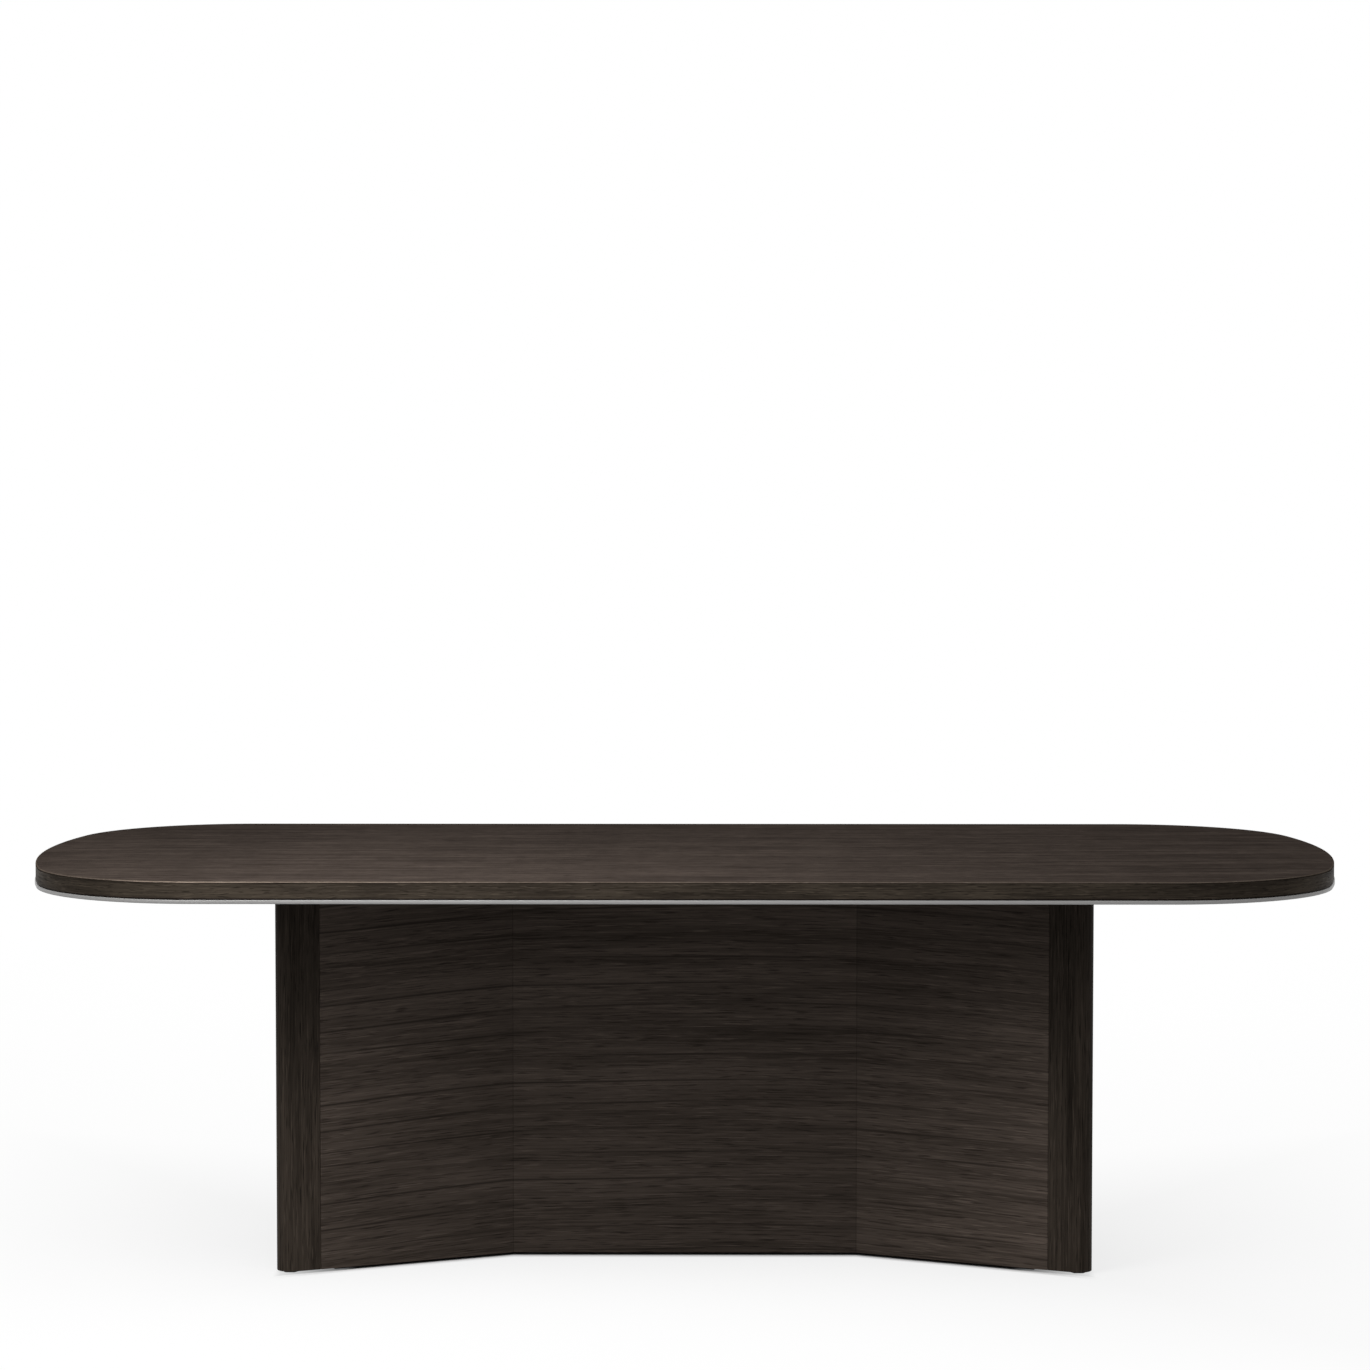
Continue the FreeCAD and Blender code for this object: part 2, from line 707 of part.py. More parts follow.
def build_ties():
    plate = tie_plate()
    screw = countersunk_screw(TIE_SCREW)
    screws = [placed(screw, x, y, TOP_UNDERSIDE, upside_down=True) for x, y in tie_screw_places()]
    bolts = [placed(top_bolt(), x, y, PLATE_BOTTOM) for x, y in bolt_places()]
    export("tie_plate_right", plate)
    export("tie_plate_left", mirrored(plate))
    export("tie_plate_screws", Part.makeCompound(screws + [mirrored(shape) for shape in screws]))
    export("top_bolts", Part.makeCompound(bolts + [mirrored(shape) for shape in bolts]))


def build_pedestal():
    centre = {
        "face_skin": centre_layer(0, SKIN_THICKNESS),
        "inner_skin": cut_all(centre_layer(FRAME_BACK, SCREEN_THICKNESS), centre_tenons(GLUE_GAP)),
        "frame": centre_frame(),
    }
    for layer, shape in centre.items():
        export(f"front_centre_{layer}", shape)
        export(f"rear_centre_{layer}", turned(shape))

    wing = {
        "wing_face_skin": wing_layer(0, SKIN_THICKNESS, front_ease=SEAM_CHAMFER),
        "wing_inner_skin": wing_inner_skin(),
        "wing_frame": wing_frame(),
        "post": post(),
    }
    for piece, shape in wing.items():
        for quarter, copy in four_quarters(shape).items():
            export(f"{quarter}_{piece}", copy)

    export("crease_splines", Part.makeCompound(list(four_quarters(crease_spline()).values())))
    export("post_tongues", Part.makeCompound(list(four_quarters(post_tongue()).values())))
    export("centre_tenons", Part.makeCompound(centre_tenons()))


def build_feet():
    centre_glide = glide(centre_point, CENTRE_WIDTH / 2 - GLIDE_SETBACK)
    wing_glide = glide(wing_point, WING_LENGTH - GLIDE_SETBACK)
    glides = [*four_quarters(centre_glide).values(), *four_quarters(wing_glide).values()]
    export("floor_glides", Part.makeCompound(glides))

    x, y = wing_point(*LEVELLER_PLACE)
    sleeves = four_quarters(placed(leveller_sleeve(), x, y, 0)).values()
    export("leveller_sleeves", Part.makeCompound(list(sleeves)))
    for quarter, stud in four_quarters(placed(leveller_stud(), x, y, 0)).items():
        export(f"leveller_stud_{quarter}", stud)
    for quarter, foot in four_quarters(placed(leveller_foot(), x, y, 0)).items():
        export(f"leveller_foot_{quarter}", foot)


os.makedirs("parts", exist_ok=True)
build_top()
build_ties()
build_pedestal()
build_feet()
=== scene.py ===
import math

import bpy
import numpy as np
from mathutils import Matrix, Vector


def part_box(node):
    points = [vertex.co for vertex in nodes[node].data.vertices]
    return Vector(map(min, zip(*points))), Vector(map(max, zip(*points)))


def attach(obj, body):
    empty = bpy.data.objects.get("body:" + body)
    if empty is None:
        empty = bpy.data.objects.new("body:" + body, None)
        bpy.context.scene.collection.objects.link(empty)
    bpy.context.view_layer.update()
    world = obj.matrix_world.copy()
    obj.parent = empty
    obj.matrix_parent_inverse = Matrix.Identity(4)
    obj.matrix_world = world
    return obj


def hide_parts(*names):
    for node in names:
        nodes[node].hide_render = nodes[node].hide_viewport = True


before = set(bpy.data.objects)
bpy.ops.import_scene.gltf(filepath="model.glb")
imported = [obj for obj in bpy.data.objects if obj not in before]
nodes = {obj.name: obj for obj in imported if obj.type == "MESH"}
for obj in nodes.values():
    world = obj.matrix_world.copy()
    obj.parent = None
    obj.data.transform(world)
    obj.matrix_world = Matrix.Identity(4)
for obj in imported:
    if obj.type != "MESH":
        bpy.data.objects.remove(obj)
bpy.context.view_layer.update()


# Feet: flat pads under the panels and four screw-down levelling feet under the posts.
# All are moulded from black nylon, with the faint pebble of the mould on them.

def put(tree, kind, inputs=(), **settings):
    """One shader node with its settings, each input a value or a socket to link from."""
    made = tree.nodes.new(kind)
    for key, value in settings.items():
        setattr(made, key, value)
    for key, value in dict(inputs).items():
        if isinstance(value, bpy.types.NodeSocket):
            tree.links.new(value, made.inputs[key])
        else:
            made.inputs[key].default_value = value
    return made


def remap(tree, value, low, high, to_low=0.0, to_high=1.0):
    """Value moved from the range low..high to the range to_low..to_high, held at its ends."""
    inputs = {"Value": value, "From Min": low, "From Max": high, "To Min": to_low, "To Max": to_high}
    return put(tree, "ShaderNodeMapRange", inputs, clamp=True).outputs["Result"]


def blend_colours(tree, factor, first, second, mode="MIX"):
    """Two colours mixed by a factor, in the given way."""
    inputs = {"Factor": factor, 6: first, 7: second}
    return put(tree, "ShaderNodeMix", inputs, data_type="RGBA", blend_type=mode).outputs[2]


def stretched_noise(tree, vector, stretch, detail=1.0, roughness=0.5):
    """Noise whose cells per metre along each axis are given by stretch."""
    scaled = put(tree, "ShaderNodeVectorMath", {0: vector, 1: stretch}, operation="MULTIPLY").outputs[0]
    inputs = {"Vector": scaled, "Scale": 1.0, "Detail": detail, "Roughness": roughness}
    return put(tree, "ShaderNodeTexNoise", inputs).outputs[0]


def paint(red, green, blue):
    """A colour given as it looks on a screen, 0 to 255, in the linear values that a shader takes."""
    screen = np.array([red, green, blue]) / 255
    linear = np.where(screen <= 0.04045, screen / 12.92, ((screen + 0.055) / 1.055) ** 2.4)
    return (*linear.tolist(), 1.0)


def new_finish(name, specular=0.5, metallic=0.0, roughness=0.5):
    """A material, its node tree and its shader."""
    finish = bpy.data.materials.new(name)
    finish.use_nodes = True
    tree = finish.node_tree
    shader = tree.nodes["Principled BSDF"]
    shader.inputs["Specular IOR Level"].default_value = specular
    shader.inputs["Metallic"].default_value = metallic
    shader.inputs["Roughness"].default_value = roughness
    return finish, tree, shader


def object_place(tree):
    """Metres in the shared frame, because every object sits at the origin."""
    return tree.nodes.new("ShaderNodeTexCoord").outputs["Object"]


def raise_surface(tree, shader, height, depth):
    """Bump of the given depth in metres on the shader's normal."""
    bump = put(tree, "ShaderNodeBump", {"Height": height, "Strength": 1.0, "Distance": depth})
    tree.links.new(bump.outputs["Normal"], shader.inputs["Normal"])


def finish_nodes(finish, names):
    """Gives the finish to nodes that keep their CAD shape."""
    for name in names:
        nodes[name].material_slots[0].material = finish


NOISE_RANGE = (0.3, 0.7)
PEBBLES_PER_CLOUD = 40
SHEEN_SPREAD = 0.06


def pebbled_finish(name, colour, lighter, grain, depth, roughness, specular):
    """Moulded or sprayed surface: fine pebble in the bump, slight clouds in colour and sheen."""
    finish, tree, shader = new_finish(name, specular)
    place = object_place(tree)
    pebble = stretched_noise(tree, place, (grain,) * 3, detail=2.0)
    clouds = stretched_noise(tree, place, (grain / PEBBLES_PER_CLOUD,) * 3, detail=3.0)
    colour = blend_colours(tree, remap(tree, clouds, *NOISE_RANGE), colour, lighter)
    tree.links.new(colour, shader.inputs["Base Color"])
    rough = remap(tree, clouds, *NOISE_RANGE, roughness - SHEEN_SPREAD, roughness + SHEEN_SPREAD)
    tree.links.new(rough, shader.inputs["Roughness"])
    raise_surface(tree, shader, pebble, depth)
    return finish


nylon = pebbled_finish(
    "nylon", paint(20, 20, 20), paint(28, 28, 27),
    grain=1600.0, depth=0.00006, roughness=0.55, specular=0.4,
)
finish_nodes(nylon, ["floor_glides"])
SHARP_EDGE = math.radians(35)


def mesh_piece(name, points, faces, finish, runs=None):
    """Object from points and faces, smooth but for sharp edges.

    Runs, if given, is a pair of lengths in metres for each point, kept as the piece's UV map.
    """
    mesh = bpy.data.meshes.new(name)
    mesh.from_pydata(np.asarray(points).tolist(), [], faces)
    mesh.validate()
    if runs is not None:
        corners = np.zeros(len(mesh.loops), dtype=np.int32)
        mesh.loops.foreach_get("vertex_index", corners)
        layer = mesh.uv_layers.new(name="run")
        layer.data.foreach_set("uv", np.asarray(runs, dtype=np.float32)[corners].ravel())
    mesh.polygons.foreach_set("use_smooth", np.ones(len(mesh.polygons), dtype=bool))
    mesh.set_sharp_from_angle(angle=SHARP_EDGE)
    mesh.materials.append(finish)
    piece = bpy.data.objects.new(name, mesh)
    bpy.context.scene.collection.objects.link(piece)
    return piece


def skin_between(loops, around, copies=1):
    """Faces of a closed skin over loops of equally many points.

    Each quad joins two neighbours of a loop to those of the next, and a flat cap closes each end.
    Copies of the shape follow on in the list of points.
    """
    row, column = np.meshgrid(np.arange(loops - 1), np.arange(around), indexing="ij")
    after = (column + 1) % around
    corners = [(row, column), (row, after), (row + 1, after), (row + 1, column)]
    quads = np.stack([loop * around + point for loop, point in corners], axis=-1).reshape(-1, 4)
    caps = np.stack([np.arange(around)[::-1], (loops - 1) * around + np.arange(around)])
    starts = loops * around * np.arange(copies)[:, None, None]
    return (quads + starts).reshape(-1, 4).tolist() + (caps + starts).reshape(-1, around).tolist()


WING_ANGLE = math.radians(25.7)
WING_LENGTH = 0.382
CREASE = (0.320, -0.050)
POST_DEPTH = 0.050
POST_STRAIGHT = 0.050


def wing_plan(along, depth):
    """Plan points in the front right wing, from distances along its face and in from it."""
    x = CREASE[0] + along * math.cos(WING_ANGLE) + depth * math.sin(WING_ANGLE)
    y = CREASE[1] - along * math.sin(WING_ANGLE) + depth * math.cos(WING_ANGLE)
    return np.stack([x, y], axis=-1)


LEVELLER_PLACE = wing_plan(WING_LENGTH + POST_STRAIGHT, POST_DEPTH / 2)
AROUND = np.linspace(0, 2 * np.pi, 48, endpoint=False)
CORNER_POWER = 24


def six_sided(across_flats):
    """Radius of a hexagon with softened corners in every direction round its middle.

    That is half the width over the root of the summed powers of the cosines to the six flats: the
    higher the power, the sharper the corners.
    """
    flats = np.pi / 6 + np.arange(6) * np.pi / 3
    facing = np.maximum(np.cos(AROUND[:, None] - flats), 0)
    return across_flats / 2 * (facing ** CORNER_POWER).sum(axis=1) ** (-1 / CORNER_POWER)


def stack_rings(rings):
    """Points of rings about the Z axis from pairs of radius and height.

    Radius and height are each one number or one for every direction; a point is the radius times
    cosine and sine of its direction, at the height.
    """
    full = [[np.broadcast_to(value, AROUND.shape) for value in ring] for ring in rings]
    radius, height = np.swapaxes(full, 0, 1)
    return np.stack([radius * np.cos(AROUND), radius * np.sin(AROUND), height], axis=-1).reshape(-1, 3)


QUARTER_SIGNS = {
    "front_right": (1, 1),
    "front_left": (-1, 1),
    "rear_left": (-1, -1),
    "rear_right": (1, -1),
}
FOOT_ACROSS_FLATS = 0.032
FOOT_TOP = 0.0080
foot = six_sided(FOOT_ACROSS_FLATS)
# Radius and height of each ring, from the hollow in the sole out and up over the softened rim.
FOOT_RINGS = [
    (0.0040, 0.0017),
    (0.0095, 0.0017),
    (0.0106, 0.0010),
    (foot - 0.0016, 0.0010),
    (foot - 0.0006, 0.0015),
    (foot, 0.0026),
    (foot, 0.0070),
    (foot - 0.0003, 0.0077),
    (foot - 0.0011, FOOT_TOP),
    (0.0035, FOOT_TOP),
]
foot_faces = skin_between(len(FOOT_RINGS), len(AROUND))
for quarter, signs in QUARTER_SIGNS.items():
    points = stack_rings(FOOT_RINGS) + (*LEVELLER_PLACE * signs, 0)
    pad = mesh_piece("leveller_foot_" + quarter + "_piece", points, foot_faces, nylon)
    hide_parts("leveller_foot_" + quarter)
    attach(pad, "leveller_" + quarter)


# Bright zinc-plated steel: the levellers' studs and sleeves, all screws, bolts and threaded inserts.
# Pressed and rolled pieces, plated in a drum, so the sheen is cloudy with a faint yellow cast.

ZINC = (paint(164, 164, 158), paint(182, 180, 168))
ZINC_CLOUDS = (260.0, 260.0, 260.0)
ZINC_SHEEN = (0.25, 0.75, 0.28, 0.46)
THREAD_DEPTH = 0.55
THREAD_BLUNTING = 0.2
RINGS_PER_TURN = 6
TINY = 1e-9


def plated_finish():
    """Plated steel: clouds in colour and sheen."""
    finish, tree, shader = new_finish("zinc_plate", metallic=1.0)
    clouds = stretched_noise(tree, object_place(tree), ZINC_CLOUDS, detail=3.0)
    colour = blend_colours(tree, remap(tree, clouds, *NOISE_RANGE), *ZINC)
    tree.links.new(colour, shader.inputs["Base Color"])
    tree.links.new(remap(tree, clouds, *ZINC_SHEEN), shader.inputs["Roughness"])
    return finish


def thread_rings(width, pitch, bottom, top):
    """Rings of a thread, as pairs of radius and height.

    Between core and crest the radius follows a blunted triangle wave of height over pitch less the
    turn, and at both ends it runs down to the core.
    """
    height = np.arange(bottom, top + TINY, pitch / RINGS_PER_TURN)
    wave = 2 * np.abs((height[:, None] / pitch - AROUND / (2 * np.pi)) % 1 - 0.5)
    deepest = THREAD_DEPTH * pitch
    depth = deepest * np.clip((1 + 2 * THREAD_BLUNTING) * wave - THREAD_BLUNTING, 0, 1)
    to_end = np.minimum(height - bottom, top - height)[:, None]
    radius = np.minimum(width / 2 - depth, width / 2 - deepest + to_end)
    return list(zip(radius, height))


def fastened(name, rings, places, finish, body):
    """One piece from the same stack of rings at several places."""
    points = (np.asarray(places)[:, None, :] + stack_rings(rings)).reshape(-1, 3)
    faces = skin_between(len(rings), len(AROUND), len(places))
    piece = mesh_piece(name + "_piece", points, faces, finish)
    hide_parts(name)
    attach(piece, body)


zinc = plated_finish()
finish_nodes(zinc, ["tie_plate_screws", "top_inserts", "leveller_sleeves"])
STUD_END = [(0.0035, FOOT_TOP), (0.0046, FOOT_TOP)]
STUD_RINGS = STUD_END + thread_rings(width=0.0100, pitch=0.0015, bottom=0.0082, top=0.0490)
for quarter, signs in QUARTER_SIGNS.items():
    place = (*LEVELLER_PLACE * signs, 0)
    name = "leveller_stud_" + quarter
    fastened(name, STUD_RINGS, [place], zinc, "leveller_" + quarter)


# Inner frames of the panels, with their splines, tongues and loose tenons.
# Planed softwood, unfinished: upright stiles with level rails between them, seen only from below.

LEAF_STEP = 0.0035
WANDER = 0.012
LINE_STEP = 0.0458
LINE_WIDTH = (0.006, 0.06)
LINE_BREAKS = (0.36, 0.58, 0.1, 1.0)
# Noise cells per metre along the grain, across it and into the wood.
BEND = (1.3, 4.0, 4.0)
CLOUDS = (2.2, 7.0, 7.0)
FIGURE = (1.0, 26.0, 26.0)
THREADS = (3.0, 300.0, 300.0)
FLECKS = (12.0, 380.0, 380.0)
PORES = (16.0, 460.0, 460.0)
LINE_SHIFT = (0.7, 13.0, 13.0)
LINE_STRENGTH = (1.6, 26.0, 26.0)
# The part of each noise's range that shows, and how far it moves the tone from dark to light, or
# from there to the pore's colour.
THREAD_RANGE = (0.42, 0.58)
FLECK_RANGE = (0.60, 0.70)
PORE_RANGE = (0.58, 0.70)
CLOUD_SHARE = 0.15
FIGURE_SHARE = 0.65
THREAD_SHARE = 0.20
FLECK_SHARE = 0.42
PORE_SHARE = 0.65
WOOD_SHEEN = (-0.5, 1.0, 0.66, 0.46)
FIGURE_RELIEF = 0.35


def calc(tree, operation, a, b=0.0, clamp=False):
    """The result of one Math node."""
    return put(tree, "ShaderNodeMath", {0: a, 1: b}, operation=operation, use_clamp=clamp).outputs[0]


def oak_like_grain():
    """Node group for straight-grained wood.

    The vector is metres along the grain, across it and into the wood. Across the grain the figure
    repeats every leaf, as in veneer cut in one pack, and each leaf lies slightly deeper in the log.
    The figure leans by the given rise per metre, bends over into a wide arch and wanders a little.
    Its tone is one noise of several octaves stretched along the grain, with short dark pores and
    pale flecks. The growth lines come at a step across the grain, shifted and broken by longer
    noises. Shorten makes all streaks that many times shorter.
    """
    group = bpy.data.node_groups.new("wood_grain", "ShaderNodeTree")
    sockets = (
        ("Vector", "NodeSocketVector", (0, 0, 0)),
        ("Leaf", "NodeSocketFloat", 10.0),
        ("Lines", "NodeSocketFloat", 0.0),
        ("Lean", "NodeSocketFloat", 0.0),
        ("Arch", "NodeSocketFloat", 0.0),
        ("Shorten", "NodeSocketFloat", 1.0),
        ("Dark", "NodeSocketColor", (0.1, 0.1, 0.1, 1)),
        ("Light", "NodeSocketColor", (0.2, 0.2, 0.2, 1)),
        ("Pore", "NodeSocketColor", (0.05, 0.05, 0.05, 1)),
    )
    for name, kind, value in sockets:
        group.interface.new_socket(name, in_out="INPUT", socket_type=kind).default_value = value
    group.interface.new_socket("Color", in_out="OUTPUT", socket_type="NodeSocketColor")
    group.interface.new_socket("Roughness", in_out="OUTPUT", socket_type="NodeSocketFloat")
    group.interface.new_socket("Height", in_out="OUTPUT", socket_type="NodeSocketFloat")
    given = group.nodes.new("NodeGroupInput").outputs
    result = group.nodes.new("NodeGroupOutput").inputs

    split = put(group, "ShaderNodeSeparateXYZ", {0: given["Vector"]}).outputs
    leaf_number = calc(group, "FLOOR", calc(group, "DIVIDE", split["Y"], given["Leaf"]))
    within = calc(group, "SUBTRACT", split["Y"], calc(group, "MULTIPLY", leaf_number, given["Leaf"]))
    deeper = calc(group, "ADD", split["Z"], calc(group, "MULTIPLY", leaf_number, LEAF_STEP))
    leaf = put(group, "ShaderNodeCombineXYZ", {"X": split["X"], "Y": within, "Z": deeper}).outputs[0]
    along = calc(group, "MULTIPLY", split["X"], given["Shorten"])
    wander = remap(group, stretched_noise(group, leaf, BEND), 0.0, 1.0, -WANDER, WANDER)
    slope = calc(group, "SUBTRACT", given["Lean"], calc(group, "MULTIPLY", split["X"], given["Arch"]))
    rise = calc(group, "MULTIPLY", split["X"], slope)
    bent = calc(group, "SUBTRACT", calc(group, "ADD", within, wander), rise)
    grain = put(group, "ShaderNodeCombineXYZ", {"X": along, "Y": bent, "Z": deeper}).outputs[0]

    clouds = stretched_noise(group, given["Vector"], CLOUDS, detail=2.0)
    figure = stretched_noise(group, grain, FIGURE, detail=4.0, roughness=0.75)
    threads = stretched_noise(group, grain, THREADS)
    flecks = stretched_noise(group, grain, FLECKS)
    pores = stretched_noise(group, grain, PORES)
    tone = remap(group, clouds, *NOISE_RANGE, 0.0, CLOUD_SHARE)
    tone = calc(group, "ADD", tone, remap(group, figure, *NOISE_RANGE, 0.0, FIGURE_SHARE))
    tone = calc(group, "ADD", tone, remap(group, threads, *THREAD_RANGE, 0.0, THREAD_SHARE))
    tone = calc(group, "ADD", tone, remap(group, flecks, *FLECK_RANGE, 0.0, FLECK_SHARE), clamp=True)
    colour = blend_colours(group, tone, given["Dark"], given["Light"])

    shift = stretched_noise(group, grain, LINE_SHIFT)
    strength = remap(group, stretched_noise(group, grain, LINE_STRENGTH), *LINE_BREAKS)
    level = calc(group, "FRACT", calc(group, "ADD", calc(group, "DIVIDE", bent, LINE_STEP), shift))
    off_line = calc(group, "ABSOLUTE", calc(group, "SUBTRACT", level, 0.5))
    line = calc(group, "MULTIPLY", remap(group, off_line, *LINE_WIDTH, 1.0, 0.0), strength)
    line = calc(group, "MULTIPLY", line, given["Lines"])
    pore = remap(group, pores, *PORE_RANGE)
    sunk = calc(group, "MAXIMUM", calc(group, "MULTIPLY", pore, PORE_SHARE), line)
    colour = blend_colours(group, sunk, colour, given["Pore"])
    rough = remap(group, calc(group, "SUBTRACT", tone, pore), *WOOD_SHEEN)
    height = calc(group, "SUBTRACT", calc(group, "MULTIPLY", figure, FIGURE_RELIEF), pore)
    group.links.new(colour, result["Color"])
    group.links.new(rough, result["Roughness"])
    group.links.new(height, result["Height"])
    return group


WOOD_GRAIN = oak_like_grain()
GRAIN_DEPTH = 0.00012
GLUE_WIDTH = (0.0004, 0.0014)
GLUE_STRENGTH = 0.35


def dress_with_grain(
    tree, shader, vector, colours,
    leaf=10.0, lines=0.0, lean=0.0, arch=0.0, shorten=1.0, joints=(), tone=None,
):
    """Links the grain to the shader, with a dark glue line at each distance along the grain in joints.

    Tone, if given, makes a factor for the colour from the tree and the vector.
    """
    dark, light, pore = colours
    grain = put(tree, "ShaderNodeGroup", node_tree=WOOD_GRAIN)
    values = {"Leaf": leaf, "Lines": lines, "Lean": lean, "Arch": arch, "Shorten": shorten}
    values.update({"Dark": dark, "Light": light, "Pore": pore})
    for key, value in values.items():
        grain.inputs[key].default_value = value
    tree.links.new(vector, grain.inputs["Vector"])
    colour = grain.outputs["Color"]
    for joint in joints:
        along = put(tree, "ShaderNodeSeparateXYZ", {0: vector}).outputs["X"]
        off = calc(tree, "ABSOLUTE", calc(tree, "SUBTRACT", calc(tree, "ABSOLUTE", along), joint))
        glue = remap(tree, off, *GLUE_WIDTH, GLUE_STRENGTH, 0.0)
        colour = blend_colours(tree, glue, colour, pore)
    if tone:
        colour = blend_colours(tree, 1.0, colour, tone(tree, vector), "MULTIPLY")
    tree.links.new(colour, shader.inputs["Base Color"])
    tree.links.new(grain.outputs["Roughness"], shader.inputs["Roughness"])
    raise_surface(tree, shader, grain.outputs["Height"], GRAIN_DEPTH)


def reach_along(tree, place, axis):
    """Distance of a place along an axis: its part in the direction, plus the offset."""
    *direction, offset = axis
    reach = put(tree, "ShaderNodeVectorMath", {0: place, 1: direction}, operation="DOT_PRODUCT")
    return calc(tree, "ADD", reach.outputs["Value"], offset)


def grained_finish(name, along, across, into, colours, specular=0.03, **figure):
    """Wood whose grain axes are directions, each three numbers and an offset in metres; figure is
    what dress_with_grain takes."""
    finish, tree, shader = new_finish(name, specular)
    place = object_place(tree)
    axes = [reach_along(tree, place, axis) for axis in (along, across, into)]
    vector = put(tree, "ShaderNodeCombineXYZ", dict(enumerate(axes))).outputs[0]
    dress_with_grain(tree, shader, vector, colours, **figure)
    return finish


SOFTWOOD = (paint(150, 118, 80), paint(196, 164, 120), paint(110, 80, 50))
# Spans of the stiles along half a screen, from its middle over the crease to the post.
STILES = ((0.0, 0.030), (0.248, 0.392), (0.630, 0.702))
PANEL_SIDES = {
    "front_centre": (0, 1),
    "front_right_wing": (1, 1),
    "front_left_wing": (-1, 1),
    "rear_centre": (0, -1),
    "rear_left_wing": (1, -1),
    "rear_right_wing": (-1, -1),
}


def along_panel(side, turn):
    """Axis along a panel from the middle of its screen, with the wings unfolded into one line.

    Side is 0 for the centre and 1 or -1 for a wing. Turn is -1 for the rear screen, which is the
    front one turned half round.
    """
    direction = (math.cos(side * WING_ANGLE), -math.sin(side * WING_ANGLE))
    offset = side * CREASE[0] - (direction[0] * side * CREASE[0] + direction[1] * CREASE[1])
    return (turn * direction[0], turn * direction[1], 0, offset)


def frame_finish(name, along):
    """Softwood of one inner frame, its grain upright in the stiles and level in the rails.

    A place belongs to a stile where its distance along the screen lies in one of the spans.
    """
    finish, tree, shader = new_finish(name, specular=0.1)
    place = object_place(tree)
    level = reach_along(tree, place, along)
    height = reach_along(tree, place, (0, 0, 1, 0))
    into = reach_along(tree, place, (-along[1], along[0], 0, 0))
    upright = 0.0
    for start, stop in STILES:
        off = calc(tree, "SUBTRACT", calc(tree, "ABSOLUTE", level), (start + stop) / 2)
        within = calc(tree, "LESS_THAN", calc(tree, "ABSOLUTE", off), (stop - start) / 2)
        upright = calc(tree, "MAXIMUM", upright, within)
    in_stile = put(tree, "ShaderNodeCombineXYZ", {"X": height, "Y": level, "Z": into}).outputs[0]
    in_rail = put(tree, "ShaderNodeCombineXYZ", {"X": level, "Y": height, "Z": into}).outputs[0]
    inputs = {"Factor": upright, 4: in_rail, 5: in_stile}
    vector = put(tree, "ShaderNodeMix", inputs, data_type="VECTOR").outputs[1]
    dress_with_grain(tree, shader, vector, SOFTWOOD, lines=0.4, shorten=1.6)
    return finish


for panel, sides in PANEL_SIDES.items():
    finish_nodes(frame_finish(panel + "_softwood", along_panel(*sides)), [panel + "_frame"])
UPRIGHT_AXES = ((0, 0, 1, 0), (1, 0, 0, 0), (0, 1, 0, 0))
upright_softwood = grained_finish("upright_softwood", *UPRIGHT_AXES, SOFTWOOD)
finish_nodes(upright_softwood, ["crease_splines", "post_tongues", "centre_tenons"])


# Panels of the two folded screens: thin boards on the inner frames, faced with smoked oak veneer.
# The grain lies level and runs on across the mitred creases; four leaves from one pack make the height.

PANEL_OAK = (paint(42, 36, 31), paint(89, 79, 72), paint(31, 26, 22))
LEAF_HEIGHT = 0.183
LOWEST_LEAF = (0, 0, 1, -0.009)
FRONT_LOG = (0, 0, 0, 0.31)
REAR_LOG = (0, 0, 0, 1.31)
# Heights between which the panels' painted shade and light go from the foot factors to the head ones.
PAINTED_SHADE_HEIGHTS = (0.05, 0.65)


def panel_finish(name, side, turn, foot, head):
    """Veneer of one panel, on the rear screen from another log than on the front one.

    Foot and head are each a pair of factors of the tone, at the crease and at the post, and the tone
    goes evenly between the four. These factors are painted shade and light, not the wood's colour:
    mostly darker towards the creases, where shade falls in the folds, and paler where the lamps would
    fall, most of all at the foot of the front right wing. On the front screen they follow the photo,
    because the lamps alone don't give its tones.
    """
    def tone(tree, vector):
        """Factor at a place, from its distance along the screen and its height."""
        split = put(tree, "ShaderNodeSeparateXYZ", {0: vector}).outputs
        out = calc(tree, "ABSOLUTE", split["X"])
        wing = (CREASE[0], CREASE[0] + WING_LENGTH)
        at_foot = remap(tree, out, *wing, *foot)
        at_head = remap(tree, out, *wing, *head)
        return remap(tree, split["Y"], *PAINTED_SHADE_HEIGHTS, at_foot, at_head)

    return grained_finish(
        name, along_panel(side, turn), LOWEST_LEAF, FRONT_LOG if turn > 0 else REAR_LOG, PANEL_OAK,
        leaf=LEAF_HEIGHT, lines=0.75, lean=0.006, arch=0.027, shorten=1.3, joints=[CREASE[0]], tone=tone,
    )


# Painted shade and light on each panel, as factors at the foot and the head, at the crease and at the
# post.
PANEL_PAINTED_SHADE = {
    "front_centre": ((0.84, 0.84), (1.04, 1.04)),
    "front_right_wing": ((1.06, 1.50), (0.82, 0.98)),
    "front_left_wing": ((0.86, 1.11), (1.00, 1.04)),
    "rear_centre": ((0.95, 0.95), (1.05, 1.05)),
    "rear_left_wing": ((0.95, 1.12), (0.95, 1.04)),
    "rear_right_wing": ((0.92, 1.10), (1.00, 1.05)),
}
for panel, (foot_shade, head_shade) in PANEL_PAINTED_SHADE.items():
    veneer = panel_finish(panel + "_veneer", *PANEL_SIDES[panel], foot_shade, head_shade)
    finish_nodes(veneer, [panel + "_face_skin", panel + "_inner_skin"])


# Posts that close the wings: solid smoked oak, grain upright, outer edge planed to a full half round.
# A loose tongue joins each to its wing, with a fine V groove down the joint.

